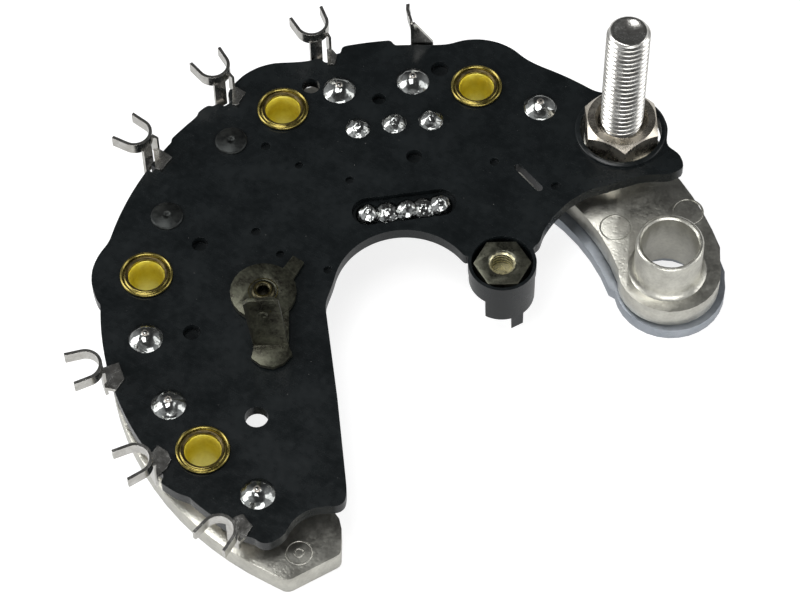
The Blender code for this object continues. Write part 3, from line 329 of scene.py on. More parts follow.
# %% Finishes of solder, eyelets and small pieces
solder_bright = finish("solder", (0.26, 0.27, 0.265), (0.47, 0.48, 0.465), (0.07, 0.17), size=1.2,
                       metallic=1.0, grain_size=1.4, pits=0.2, bump=0.06, depth=0.04,
                       scratch=(0.16, 0.16, 0.15), scratch_share=0.25, mark_size=2.5)
solder_dull = finish("dull_solder", (0.018, 0.020, 0.020), (0.042, 0.045, 0.043), (0.32, 0.50), size=1.0,
                     metallic=0.85, grain_size=0.5, pits=0.5, bump=0.2, depth=0.04,
                     scratch=(0.20, 0.21, 0.20), scratch_share=0.3, mark_size=2.0)
brass = finish("eyelet_brass", (0.19, 0.15, 0.040), (0.34, 0.28, 0.085), (0.16, 0.30), size=1.8,
               metallic=1.0, grain_size=0.5, pits=0.3, bump=0.12, depth=0.03, scratch=(0.30, 0.21, 0.03),
               scratch_share=0.35, mark_size=2.5)
copper_tinned = finish("tinned_copper", (0.50, 0.46, 0.41), (0.66, 0.62, 0.57), (0.28, 0.42), size=2.0,
                       metallic=1.0, grain_size=0.5, bump=0.12, depth=0.03)
# Painted light: this bright yellow skin stands in for light reflected inside the eyelet bores.
painted_bore_light = finish("eyelet_painted_light", (0.86, 0.745, 0.115), (0.98, 0.90, 0.22), (0.32, 0.45), size=2.5,
               metallic=0.85, grain_size=0.5, pits=0.2, bump=0.08, depth=0.02, scratch=(0.45, 0.33, 0.05),
               mark_size=3.0)
# Painted shade: this dark brown ring stands in for the shade that falls in the eyelet grooves.
painted_groove_shade = finish("eyelet_painted_shade", (0.045, 0.032, 0.012), (0.12, 0.09, 0.03), (0.30, 0.5), size=1.0,
                      metallic=0.9, grain_size=0.4, bump=0.1, depth=0.02)
bush_tan = finish("bush_moulding", (0.28, 0.25, 0.19), (0.36, 0.33, 0.26), (0.45, 0.6), size=2.0,
                  grain_size=0.4)
diode_black = finish("diode_moulding", (0.012, 0.012, 0.013), (0.03, 0.03, 0.032), (0.38, 0.5), size=1.0,
                     grain_size=0.3)
print("finishes:", len([m for m in bpy.data.materials if m.node_tree]))

# %% [markdown]
# The studio is a grey table, a lamp above, a low one in front and a soft box at each hand. The far
# side and the air round the camera stay dark, so a level face or a thread that mirrors them looks
# dark too, while the foot and the flanks of every round form are light. The Light Path node lifts
# the table to white for the camera and to a paler grey in bright metal, and the part's soft shadow
# stays on it.

# %% Table
TABLE_HALF = 4
TABLE_DROP = 0.0002
TO_CAMERA, IN_METAL = 0.78, 0.35
table_mesh = bpy.data.meshes.new("table")
corners = [(x * TABLE_HALF, y * TABLE_HALF, 0) for x, y in ((-1, -1), (1, -1), (1, 1), (-1, 1))]
table_mesh.from_pydata(corners, [], [(0, 1, 2, 3)])
table = bpy.data.objects.new("table", table_mesh)
table.location.z = -TABLE_DROP
scene.collection.objects.link(table)
paper = bpy.data.materials.new("table_paper")
paper.use_nodes = True
tree = paper.node_tree
skin = tree.nodes["Principled BSDF"]
fibres = put(tree, "ShaderNodeTexNoise", Vector=put(tree, "ShaderNodeTexCoord").outputs["Object"], Scale=60.0)
grey = blend(tree, fibres.outputs["Fac"], (0.46, 0.46, 0.46), (0.50, 0.50, 0.50))
wire(tree, grey, skin.inputs["Base Color"])
skin.inputs["Roughness"].default_value = 0.9
skin.inputs["Specular IOR Level"].default_value = 0.1
path = put(tree, "ShaderNodeLightPath").outputs
skin.inputs["Emission Color"].default_value = (1, 1, 1, 1)
glow = calc(tree, "ADD", calc(tree, "MULTIPLY", path["Is Camera Ray"], TO_CAMERA),
            calc(tree, "MULTIPLY", path["Is Glossy Ray"], IN_METAL))
wire(tree, glow, skin.inputs["Emission Strength"])
table_mesh.materials.append(paper)
print("table added")

# %% World
LEFT_GLOW, RIGHT_GLOW, NEAR_GLOW, DIM = 0.50, 0.35, 0.35, 0.07
world = bpy.data.worlds.new("studio")
scene.world = world
world.use_nodes = True
tree = world.node_tree
sky = tree.nodes["Background"]
axes = put(tree, "ShaderNodeSeparateXYZ", Vector=put(tree, "ShaderNodeTexCoord").outputs["Generated"]).outputs
left = calc(tree, "MULTIPLY", remap(tree, axes["X"], -0.35, -0.95, smooth=True), LEFT_GLOW)
right = calc(tree, "MULTIPLY", remap(tree, axes["X"], 0.40, 0.95, smooth=True), RIGHT_GLOW)
near = calc(tree, "MULTIPLY", remap(tree, axes["Y"], 0.0, -0.8, smooth=True),
            remap(tree, axes["Z"], 0.75, 0.45, 0.0, NEAR_GLOW, smooth=True))
level = calc(tree, "ADD", calc(tree, "ADD", left, right), calc(tree, "ADD", near, DIM))
wire(tree, level, sky.inputs["Strength"])
sky.inputs["Color"].default_value = (0.97, 0.985, 1.0, 1)
print("world set")

# %% Lamps
def lamp(name, place, size, power):
    """White rectangular lamp that faces the part."""
    data = bpy.data.lights.new(name, "AREA")
    data.shape = "RECTANGLE"
    data.size, data.size_y = size
    data.energy = power
    made = bpy.data.objects.new(name, data)
    scene.collection.objects.link(made)
    made.location = place
    made.rotation_euler = Vector(place).to_track_quat("Z", "Y").to_euler()


lamp("lamp_front", (0.10, -1.10, 0.42), (1.2, 0.4), 6.0)
lamp("lamp_above", (-0.25, -0.05, 1.25), (0.7, 0.5), 6.5)
lamp("lamp_left", (-1.00, 0.05, 0.55), (0.6, 0.9), 6.5)
lamp("lamp_right", (1.00, 0.00, 0.50), (0.5, 0.8), 2.5)

# %% [markdown]
# Every piece ends in the same way. Its drawing becomes metres in the part's own frame, and it gets
# a finish. A Bevel modifier softens its edges, or, on turned pieces whose profile is round enough,
# only the edges past an angle stay sharp. Then the measured solids that it stands for are hidden.

# %% Finishing a piece
WELD = 0.004
NEARLY_FLAT = math.radians(0.8)


def piece(name, mesh, look, nodes, bevel=0.0, limit=40.0, segments=2):
    """Put a drawn mesh into the part as a named object that replaces measured solids."""
    mesh.transform(to_part)
    mesh.materials.clear()
    mesh.materials.append(look)
    mesh.shade_smooth()
    made = bpy.data.objects.new(name, mesh)
    scene.collection.objects.link(made)
    if bevel:
        edge = made.modifiers.new("soft_edge", "BEVEL")
        edge.width = bevel * MM
        edge.segments = segments
        edge.limit_method = "ANGLE"
        edge.angle_limit = math.radians(limit)
        edge.harden_normals = True
        edge.use_clamp_overlap = True
    else:
        mesh.set_sharp_from_angle(angle=math.radians(limit))
    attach(made, "root")
    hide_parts(*nodes)
    return made


def welded(mesh, reach):
    """Merge points within this reach, and make one face of triangles that lie flat."""
    bm = bmesh.new()
    bm.from_mesh(mesh)
    bmesh.ops.remove_doubles(bm, verts=bm.verts, dist=reach)
    bmesh.ops.dissolve_limit(bm, angle_limit=NEARLY_FLAT, verts=bm.verts, edges=bm.edges)
    bm.to_mesh(mesh)
    bm.free()
    return mesh


def copied(node):
    """A measured solid's mesh in the drawing, welded into flat faces."""
    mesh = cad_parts[node].data.copy()
    mesh.transform(to_drawing)
    return welded(mesh, WELD)


def polar(radius, angle):
    """The place at an angle in degrees, counted from +X."""
    return radius * math.cos(math.radians(angle)), radius * math.sin(math.radians(angle))


print("piece helpers ready")

# %% [markdown]
# Round pieces are turned from a profile of radius and height. A profile point on the axis gives
# one pole vertex. The wobble function lets a thread or a knurl change the radius, and six flats
# change the height too.

# %% Turning
def as_mesh(name, bm):
    """What was drawn, as a new mesh."""
    mesh = bpy.data.meshes.new(name)
    bm.to_mesh(mesh)
    bm.free()
    return mesh


def turned(name, profile, at, steps, closed=False, wobble=None):
    """Closed skin of a profile turned about an upright axis.

    wobble(radius, height, turn) gives a point's new radius, or its new radius and height.
    """
    bm = bmesh.new()
    rings = []
    for radius, level in profile:
        ring = []
        for i in range(1 if radius <= 0 else steps):
            turn = math.tau * i / steps
            size = wobble(radius, level, turn) if wobble and radius > 0 else radius
            lift = level
            if isinstance(size, tuple):
                size, lift = size
            ring.append(bm.verts.new((at[0] + size * math.cos(turn), at[1] + size * math.sin(turn), lift)))
        rings.append(ring)
    pairs = list(zip(rings, rings[1:] + rings[:1] if closed else rings[1:]))
    for upper, lower in pairs:
        for i in range(steps):
            j = (i + 1) % steps
            a, b = upper[i % len(upper)], upper[j % len(upper)]
            c, d = lower[j % len(lower)], lower[i % len(lower)]
            corners = list(dict.fromkeys((a, b, c, d)))
            if len(corners) > 2:
                bm.faces.new(corners)
    bmesh.ops.recalc_face_normals(bm, faces=bm.faces)
    return as_mesh(name, bm)


def merged(name, meshes):
    """Several drawn meshes as one."""
    bm = bmesh.new()
    for mesh in meshes:
        bm.from_mesh(mesh)
        bpy.data.meshes.remove(mesh)
    return as_mesh(name, bm)


print("turning helper ready")

# %% [markdown]
# The board is one moulding: a plate of 2.5 mm with lobes round the eyelets, four tubular feet
# that stand on the heat sink, and a deep round post. Its outer edge is read from the measured
# solid and its corners are softened. The holes and pits are cut again with finer circles, so that
# they look round close up.

# %% Outline of the board
def top_loop(node, level):
    """Longest closed edge of a measured solid at one level, as points of the drawing."""
    bm = bmesh.new()
    bm.from_mesh(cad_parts[node].data)
    bm.transform(to_drawing)
    bmesh.ops.remove_doubles(bm, verts=bm.verts, dist=WELD)
    rim = [e for e in bm.edges if all(abs(v.co.z - level) < 0.02 for v in e.verts)
           and sum(f.normal.z > 0.9 for f in e.link_faces) == 1]
    follow = {}
    for e in rim:
        for v in e.verts:
            follow.setdefault(v, []).append(e.other_vert(v))
    loops = []
    while follow:
        first, ways = next(iter(follow.items()))
        loop, last, here = [first.co.xy.to_tuple()], first, ways[0]
        while here is not first:
            loop.append(here.co.xy.to_tuple())
            ways = follow.pop(here)
            last, here = here, ways[1] if ways[0] is last else ways[0]
        follow.pop(first)
        loops.append(loop)
    bm.free()
    return max(loops, key=lambda loop: sum(math.dist(a, b) for a, b in zip(loop, loop[1:])))


board_loop = top_loop("terminal_board", BOARD_TOP)
print("board outline:", len(board_loop), "points")

# %% Plates, rods and cuts
BOOLEAN_WELD = 0.01


def plate(name, loop, base, top):
    """Upright prism over a closed outline."""
    bm = bmesh.new()
    floor = bm.faces.new([bm.verts.new((x, y, base)) for x, y in loop])
    lifted = bmesh.ops.extrude_face_region(bm, geom=[floor])["geom"]
    for item in lifted:
        if isinstance(item, bmesh.types.BMVert):
            item.co.z = top
    bmesh.ops.recalc_face_normals(bm, faces=bm.faces)
    return as_mesh(name, bm)


def rods(name, places, base, top, steps):
    """Upright cylinders, from rows of x, y and radius."""
    return merged(name, [turned(name, [(0, top), (r, top), (r, base), (0, base)], (x, y), steps)
                         for x, y, r in places])


def combined(base, tools):
    """Join or cut meshes in turn with exact Boolean modifiers; returns the result."""
    body = bpy.data.objects.new("work", base)
    scene.collection.objects.link(body)
    helpers = []
    for operation, mesh in tools:
        helper = bpy.data.objects.new("tool", mesh)
        scene.collection.objects.link(helper)
        step = body.modifiers.new("step", "BOOLEAN")
        step.operation, step.solver, step.object = operation, "EXACT", helper
        helpers.append(helper)
    bpy.context.view_layer.update()
    made = bpy.data.meshes.new_from_object(body.evaluated_get(bpy.context.evaluated_depsgraph_get()))
    for used in [body, *helpers]:
        data = used.data
        bpy.data.objects.remove(used)
        bpy.data.meshes.remove(data)
    return welded(made, BOOLEAN_WELD)


def rectangle(low, high):
    """Outline between two opposite corners."""
    return [low, (high[0], low[1]), high, (low[0], high[1])]


def stadium(start, end, half, count=10):
    """Outline with round ends about two points."""
    heading = math.atan2(end[1] - start[1], end[0] - start[0])
    points = []
    for centre, side in ((end, -math.pi / 2), (start, math.pi / 2)):
        for i in range(count + 1):
            turn = heading + side + math.pi * i / count
            points.append((centre[0] + half * math.cos(turn), centre[1] + half * math.sin(turn)))
    return points


print("cutting helpers ready")

# %% Places on the board
POST = (16.2, 7.4)
SPADE = (-27.1, 1.0)
VENT = ((19.8, 28.4), (23.5, 23.6))
OUTER_JOINTS = ((-9.8, 37.9), (-3.0, 38.9), (3.9, 39.5))
INNER_JOINTS = ((-8.1, 19.0), (-0.9, 19.8), (5.2, 20.8))
LOCATING_HOLES = ((-18.6, 48.0, 1.7), (-28.1, -24.5, 2.1))
DEEP_PITS = ((5.8, 51.5, 1.7), (-5.8, 44.7, 1.3), (0.6, 31.3, 1.5), (-38.8, 12.4, 1.5), (-39.9, -6.6, 1.6))
SMALL_PITS = ((-27.0, 34.2, 0.9), (-20.8, 29.7, 0.8), (-28.6, 15.0, 0.9), (-24.1, 9.9, 0.8),
              (-15.5, 6.3, 0.8), (-11.4, 26.2, 0.8), (15.5, 29.7, 0.9), (26.6, 24.0, 0.9))
eyelet_spots = [polar(PITCH, angle) for angle in EYELET_ANGLES]
diode_spots = [polar(PITCH, angle) for angle in DIODE_ANGLES]
print("board places:", len(DEEP_PITS) + len(SMALL_PITS), "pits")

# %% Softer outline
CORNER_REACH = 1.3
EDGE_SHARE = 0.45
CORNER_STEPS = 3


def softened(loop, reach):
    """The loop with every corner drawn as a short curve that starts at most this far from it."""
    points = []
    for before, here, after in zip(loop[-1:] + loop[:-1], loop, loop[1:] + loop[:1]):
        before, here, after = Vector(before), Vector(here), Vector(after)
        start = here + (before - here) * min(EDGE_SHARE, reach / (before - here).length)
        end = here + (after - here) * min(EDGE_SHARE, reach / (after - here).length)
        for i in range(CORNER_STEPS + 1):
            part = i / CORNER_STEPS
            points.append(tuple(start * (1 - part) ** 2 + here * 2 * part * (1 - part) + end * part ** 2))
    return points


outline = softened(board_loop, CORNER_REACH)
print("softened outline:", len(outline), "points")

# %% [markdown]
# Four feet, the post with its tooth and a low collar round the stud's nut are added to the plate,
# and all the rest is cut from it. Added forms lap into the plate and cutters reach past the faces
# that they pass, because a Boolean works badly where two faces lie on each other.

# %% Forms added to the board
LAP = 0.5
FOOT_RADIUS = 5.0
POST_RADIUS, POST_BASE = 6.1, 5.5
TOOTH = ((1.7, -5.8), (3.9, -4.6), (3.9, -3.0), (1.7, -3.8))
feet = rods("feet", [(*spot, FOOT_RADIUS) for spot in eyelet_spots], SINK_TOP + 0.3, BOARD_BASE + LAP, 40)
barrel = rods("barrel", [(*POST, POST_RADIUS)], POST_BASE, BOARD_BASE + LAP, 56)
tooth = plate("tooth", [(POST[0] + x, POST[1] + y) for x, y in TOOTH], 2.0, 7.0)
collar = turned("collar", [(7.6, BOARD_TOP - LAP), (8.6, BOARD_TOP - LAP), (8.5, BOARD_TOP + 0.5),
                           (8.2, BOARD_TOP + 0.7), (7.6, BOARD_TOP + 0.7)], STUD, 64, closed=True)
print("forms added: feet, post, tooth and collar")

# %% Holes through the board
PAST = 1.0
BELOW, ABOVE = BOARD_BASE - PAST, BOARD_TOP + PAST
EYELET_BORE = 3.9
LEAD_HOLE, SMALL_LEAD_HOLE = 0.95, 0.7
SPADE_HOLE, STUD_HOLE, VENT_HALF = 1.8, 7.65, 0.7
NOTCH_FROM, NOTCH_TO, NOTCH_HALF, NOTCH_ANGLE = 55.9, 66, 0.6, 148.5
bores = rods("bores", [(*spot, EYELET_BORE) for spot in eyelet_spots], SINK_TOP - PAST, ABOVE, 40)
holes = [(*spot, LEAD_HOLE) for spot in diode_spots]
holes += [(*spot, SMALL_LEAD_HOLE) for spot in OUTER_JOINTS + INNER_JOINTS]
holes += [(*SPADE, SPADE_HOLE), *LOCATING_HOLES]
leads = rods("lead_holes", holes, BELOW, ABOVE, 24)
stud_hole = rods("stud_hole", [(*STUD, STUD_HOLE)], BELOW, ABOVE, 64)
vent = plate("vent", stadium(*VENT, VENT_HALF, 6), BELOW, ABOVE)
notch = plate("notch", rectangle((NOTCH_FROM, -NOTCH_HALF), (NOTCH_TO, NOTCH_HALF)), BELOW, ABOVE)
notch.transform(Matrix.Rotation(math.radians(NOTCH_ANGLE), 4, "Z"))
print("round holes:", len(holes) + len(eyelet_spots) + 1)

# %% Hollows in the board
POST_HOLLOW, POST_SHELF = 5.65, 11.2
WELL_RADIUS, WELL_FLOOR = 2.5, 6.5
SLOT_HALF, SLOT_DEPTH = 3.0, 1.2
DEEP_PIT, SMALL_PIT = 1.6, 0.8
HEEL = ((POST[0] - 7.1, POST[1] - 7.1), (POST[0] - 3.1, POST[1] + 7.1))
hollow = turned("hollow", [(0, ABOVE), (POST_HOLLOW, ABOVE), (POST_HOLLOW, POST_SHELF),
                           (WELL_RADIUS, POST_SHELF), (WELL_RADIUS, WELL_FLOOR), (0, WELL_FLOOR)], POST, 48)
heel_cut = plate("heel_cut", rectangle(*HEEL), 4.5, 10.3)
joint_slot = plate("joint_slot", stadium(INNER_JOINTS[0], INNER_JOINTS[2], SLOT_HALF), BOARD_TOP - SLOT_DEPTH,
                   ABOVE)
deep = rods("deep_pits", DEEP_PITS, BOARD_TOP - DEEP_PIT, ABOVE, 24)
small = rods("small_pits", SMALL_PITS, BOARD_TOP - SMALL_PIT, ABOVE, 18)
print("hollows: post, slot and", len(DEEP_PITS) + len(SMALL_PITS), "pits")

# %% Board
cutters = (heel_cut, bores, leads, stud_hole, hollow, joint_slot, vent, deep, small, notch)
work = [("UNION", form) for form in (feet, barrel, tooth)]
work += [("DIFFERENCE", cutter) for cutter in cutters] + [("UNION", collar)]
board_mesh = combined(plate("board", outline, BOARD_BASE, BOARD_TOP), work)
piece("moulded_board", board_mesh, board_black, ["terminal_board"], bevel=0.22)
print("board faces:", len(board_mesh.polygons))

# %% [markdown]
# The upper heat sink is a die casting and the lower one a rolled plate. Both are flat shapes that
# the measured solids already give, so they are copied, welded and given soft edges.

# %% Heat sinks
upper = piece("cast_heat_sink", copied("upper_heat_sink"), cast_grey, ["upper_heat_sink"],
              bevel=0.25, limit=38.0)
lower = piece("plate_heat_sink", copied("lower_heat_sink"), plate_grey, ["lower_heat_sink"],
              bevel=0.4, limit=38.0, segments=3)
print("heat sinks:", upper.name, lower.name)

# %% [markdown]
# The pins that push a casting out of its die leave round witness lines. Here they are rings less
# than 0.1 mm high, laid into the top face. Turned rings catch the light from every side, which
# painted lines wouldn't do.

# %% Rings of the ejector pins
EJECTORS = ((37.7, 19.5, 2.8), (51.4, 22.8, 2.8), (-20.8, -47.7, 2.3), (-20.8, -47.7, 0.8))
RING_SUNK, RING_PROUD = 0.1, 0.07


def low_ring(place, radius, face, foot, crown, steps):
    """Ring laid into a level face; foot and crown are half its width under the face and on top."""
    base, top = face - RING_SUNK, face + RING_PROUD
    profile = [(radius - foot, base), (radius - crown, top), (radius + crown, top), (radius + foot, base)]
    return turned("ring", profile, place, steps, closed=True)


rings = [low_ring((x, y), radius, SINK_TOP, 0.22, 0.10, 48) for x, y, radius in EJECTORS]
piece("ejector_rings", merged("ejector_rings", rings), cast_grey, [])
print("ejector rings:", len(rings))

# %% [markdown]
# The terminals are bent from tinned strip 0.6 mm thick. The hook and the blade keep the bends of
# their measured solids. A fork is the U of its strip, a stem outside the rim and a foot on the
# board. Three forks also have a thin leg down to the foot, with a gap between leg and stem. A row
# of the table holds a fork's centre, the way that it opens and the outline of its foot.

# %% Places of the forks
FORKS = (
    (-18.23, 58.05, 114.8, ((-15.6, 56.2), (-14.5, 56.1), (-13.6, 54.8), (-14.1, 52.6), (-15.4, 52.6))),
    (-36.72, 48.45, 124.3, ((-33.4, 48.0), (-32.2, 47.3), (-30.9, 46.3), (-32.4, 43.3), (-33.3, 43.6))),
    (-50.85, 33.25, 146.5, ((-47.9, 33.4), (-46.5, 33.4), (-44.4, 31.6), (-46.2, 28.8), (-47.3, 29.0))),
    (-58.15, -17.07, 198.5, ((-55.4, -14.1), (-52.7, -13.1), (-51.6, -16.5), (-53.0, -18.8), (-55.0, -18.3))),
    (-48.73, -36.36, 206.9, ((-46.4, -31.9), (-45.3, -30.3), (-43.5, -31.6), (-42.9, -33.2), (-43.6, -35.0),
                             (-45.2, -36.4), (-46.2, -34.5))),
    (-34.0, -50.6, 234.0, ((-31.8, -44.9), (-30.2, -44.3), (-28.6, -46.7), (-29.6, -48.6), (-30.7, -49.7),
                           (-32.5, -48.2))),
)
LEGGED = 3
STRIP = 0.6
RING_RADIUS, ARM_REACH, ARM_SPREAD = 3.2, 2.75, 0.25
STEM = ((-1.85, -3.2), (0.55, -2.62))
LEG = ((1.85, -3.5), (2.35, -2.1))
FORK_TOP = height("fork_terminal_1")
RING_BASE, STEM_TOP = FORK_TOP - 2.4, FORK_TOP - 1.9
print("forks from", round(RING_BASE, 2), "to", round(FORK_TOP, 2))

# %% Outline of a fork
def band(radius, strip, reach, spread, steps=14):
    """Outline of a U of strip about its centre, open towards +Y, with arms that spread a little."""
    turns = [math.radians(180 + 180 * i / steps) for i in range(steps + 1)]
    outer = [(radius * math.cos(a), radius * math.sin(a)) for a in turns]
    inner = [((radius - strip) * math.cos(a), (radius - strip) * math.sin(a)) for a in reversed(turns)]
    tip = radius + spread
    return [(-tip, reach), *outer, (tip, reach), (tip - strip, reach), *inner, (strip - tip, reach)]


fork_outline = band(RING_RADIUS, STRIP, ARM_REACH, ARM_SPREAD)
print("fork outline:", len(fork_outline), "points")

# %% Forks
for number, (x, y, facing, foot) in enumerate(FORKS, 1):
    upright = Matrix.Translation((x, y, 0)) @ Matrix.Rotation(math.radians(facing - 90), 4, "Z")
    ring = plate("ring", fork_outline, RING_BASE, FORK_TOP)
    parts = [plate("stem", rectangle(*STEM), BOARD_BASE, STEM_TOP)]
    if number <= LEGGED:
        parts.append(plate("leg", rectangle(*LEG), BOARD_TOP + 0.2, STEM_TOP))
    for mesh in (ring, *parts):
        mesh.transform(upright)
    parts.append(plate("foot", foot, BOARD_TOP - 0.2, BOARD_TOP + 0.65))
    mesh = combined(ring, [("UNION", part) for part in parts])
    piece(f"fork_{number}", mesh, tinned, [f"fork_terminal_{number}"], bevel=0.14, limit=30.0)
print("forks:", len(FORKS))

# %% Hook and blade
hook = piece("hook", copied("hook_terminal"), tinned, ["hook_terminal"], bevel=0.12,
             limit=30.0)
blade = piece("blade", copied("blade_terminal"), dark_tin, ["blade_terminal"], bevel=0.12,
              limit=30.0)
print("other terminals:", hook.name, blade.name)

# %% [markdown]
# An eyelet is a tube whose ends are rolled over. Its top rolls out into a round bead, with a
# groove pressed between the bead and the mouth of the bore. A plastic bush keeps it off the heat
# sink. A thin dark ring in each groove is painted shade, and a thin bright yellow skin in each
# bore is painted light that stands in for light reflected inside it, each with a finish of its own.

# %% Eyelets and bushes
top = BOARD_TOP + 0.3
foot = height("eyelet_1", top=False)
profile = [(3.2, top - 0.9), (3.28, top - 0.3), (3.5, top + 0.12), (3.78, top + 0.30), (3.98, top + 0.24),
           (4.10, top + 0.10), (4.22, top + 0.10), (4.34, top + 0.34), (4.52, top + 0.46), (4.70, top + 0.40),
           (4.83, top + 0.22), (4.85, top), (3.62, top), (3.6, 0.9), (4.8, 0.9), (4.85, 0.7),
           (4.75, foot + 0.1), (4.5, foot), (3.6, foot), (3.3, foot + 0.15), (3.2, foot + 0.5)]
for number, spot in enumerate(eyelet_spots, 1):
    piece(f"gold_eyelet_{number}", turned("eyelet", profile, spot, 72, closed=True), brass,
          [f"eyelet_{number}"], limit=50.0)
    piece(f"bush_{number}", copied(f"insulating_bush_{number}"), bush_tan,
          [f"insulating_bush_{number}"], limit=35.0)
print("eyelets:", len(eyelet_spots))

# %% Painted shade in the eyelet grooves and painted light in the bores
# Painted shade: a dark ring on the slope between each bore's mouth and its bead.
groove = [(3.34, top + 0.02), (3.5, top + 0.16), (3.78, top + 0.335), (3.86, top + 0.30), (3.6, top + 0.05)]
# Painted light: a bright skin inside each bore, standing in for the light reflected there.
lining = [(3.3, top - 0.35), (3.14, top - 0.55), (3.14, 1.2), (3.3, 1.0)]
for name, profile, look in (("eyelet_painted_shades", groove, painted_groove_shade), ("eyelet_painted_lights", lining, painted_bore_light)):
    skins = [turned(name, profile, spot, 72, closed=True) for spot in eyelet_spots]
    piece(name, merged(name, skins), look, [], limit=60.0)
print("grooves and linings on", len(eyelet_spots), "eyelets")

# %% [markdown]
# The press-fit diodes have a knurled rim that bites into the heat sink. A wave on the radius
# makes the knurl, and a bead of resin closes the cup round the lead. Two leads end just over the
# board, under flat joints.

# %% Diodes
RIDGES, RIDGE_HEIGHT, RIM_FROM = 48, 0.14, 5.2


def knurl(radius, level, turn):
    """Ridges on the rim; what is narrower than the rim stays round."""
    return radius - (RIDGE_HEIGHT * abs(math.sin(RIDGES / 2 * turn)) if radius > RIM_FROM else 0.0)


for number, spot in enumerate(diode_spots, 1):
    base = height(f"press_fit_diode_{number}", top=False)
    tip = BOARD_TOP + 0.1 if number in FLAT_JOINTS else height(f"press_fit_diode_{number}")
    profile = [(0, tip), (0.5, tip), (0.65, tip - 0.15), (0.65, base + 6.4), (0.8, base + 5.9),
               (1.6, base + 5.1), (3.6, base + 4.85), (4.3, base + 4.8), (4.6, base + 4.5), (4.6, base + 2.9),
               (5.3, base + 2.8), (5.5, base + 2.5), (5.5, base + 0.3), (5.25, base), (0, base)]
    piece(f"diode_{number}", turned("diode", profile, spot, 96, wobble=knurl), copper_tinned,
          [f"press_fit_diode_{number}"])
print("diodes:", len(diode_spots))

# %% [markdown]
# The stud is an M8 thread with a pitch of 1.25 mm. A thread is a profile that rises by one pitch
# in one turn, so the radius is a triangle wave of the height less the turn. The wave fades out
# at the chamfer on top. The head in the lower plate is hidden from above, and is drawn no wider
# than the shank.

# %% Stud
STUD_RADIUS = 4.0
PITCH_OF_THREAD, THREAD_DEPTH, ROWS_PER_TURN = 1.25, 0.66, 10
STUD_TOP = height("output_stud")
THREAD_FROM, THREAD_TO = 17.0, STUD_TOP - 0.05


def thread(radius, level, turn):
    """Radius of the threaded shank; the dished end inside it stays round."""
    if radius < 3.9:
        return radius
    phase = (level / PITCH_OF_THREAD - turn / math.tau) % 1.0
    wave = min(1.0, max(0.0, abs(phase - 0.5) * 2.6 - 0.15))
    size = STUD_RADIUS - THREAD_DEPTH * (1 - wave) * (1.0 if level > THREAD_FROM else 0.0)
    return min(size, 3.25 + (STUD_TOP - level) * 0.95)


rows = int((THREAD_TO - THREAD_FROM) / PITCH_OF_THREAD * ROWS_PER_TURN)
profile = [(0, STUD_TOP - 0.5), (1.6, STUD_TOP - 0.42), (2.5, STUD_TOP - 0.12), (2.8, STUD_TOP - 0.02),
           (3.1, STUD_TOP)]
profile += [(STUD_RADIUS, THREAD_TO - (THREAD_TO - THREAD_FROM) * i / rows) for i in range(rows + 1)]
profile += [(STUD_RADIUS, level) for level in (3.4, 3.3, 3.1, 1.1, 0.7)] + [(0, 0.7)]
stud = piece("stud", turned("stud", profile, STUD, 64, wobble=thread), stud_steel,
             ["output_stud"], limit=60.0)
print("stud faces:", len(stud.data.polygons))

# %% [markdown]
# A hexagon nut is the overlap of a hexagonal prism and two flat cones. Turned round its axis, the
# radius of each ring is the smaller of the two, which draws the curved chamfer lines by itself.

# %% Nut
NUT_BASE, NUT_TOP = height("hex_nut", top=False), height("hex_nut")
FLATS = 13.0
NUT_TURN = math.radians(32.0)
CHAMFER_FROM = FLATS / 2 * 0.97
corner_rows = [6.3 + 0.16 * i for i in range(9)]


def six_flats(radius, level, turn):
    """Radius held inside the hexagon and height held inside the cones; the bore stays round."""
    if radius < 5.0:
        return radius
    local = (turn - NUT_TURN) % (math.pi / 3) - math.pi / 6
    size = min(radius, FLATS / 2 / math.cos(local))
    inset = max(0.0, size - CHAMFER_FROM)
    return size, min(max(level, NUT_BASE + inset), NUT_TOP - inset)


profile = [(4.05, NUT_BASE + 0.6), (4.05, NUT_TOP - 0.9), (4.35, NUT_TOP - 0.62), (4.95, NUT_TOP),
           (5.6, NUT_TOP)]
profile += [(radius, NUT_TOP) for radius in corner_rows]
profile += [(8.0, NUT_TOP - 1.2), (8.0, NUT_BASE + 1.2)]
profile += [(radius, NUT_BASE) for radius in reversed(corner_rows)] + [(5.2, NUT_BASE), (4.9, NUT_BASE)]
nut = piece("nut", turned("nut", profile, STUD, 180, closed=True, wobble=six_flats), nut_plating,
            ["hex_nut"], limit=30.0)
print("nut faces:", len(nut.data.polygons))

# %% [markdown]
# Solder sets as a smooth but uneven bead with the lead's tip showing. Fourteen beads follow one
# rule, so a Geometry Nodes tree makes them: a ball is pressed to a flowing dome, noise moves its
# surface, and a small pip rises in the middle. Each bead has its own seed.

# %% Solder tree: inputs
solder_tree = bpy.data.node_groups.new("solder_bead", "GeometryNodeTree")
for title, default in (("Radius", 3.0), ("Height", 1.4), ("Uneven", 0.2), ("Seed", 0.0)):
    socket = solder_tree.interface.new_socket(name=title, in_out="INPUT", socket_type=FLOAT)
    socket.default_value = default
solder_tree.interface.new_socket(name="Finish", in_out="INPUT", socket_type="NodeSocketMaterial")
solder_tree.interface.new_socket(name="Geometry", in_out="OUTPUT", socket_type="NodeSocketGeometry")
given = solder_tree.nodes.new("NodeGroupInput").outputs
end = solder_tree.nodes.new("NodeGroupOutput")
print("inputs:", [socket.name for socket in given if socket.name])

# %% Solder tree: places on the ball
def rule(operation, a, b=0.0):
    """A Math node in the solder tree."""
    return calc(solder_tree, operation, a, b)


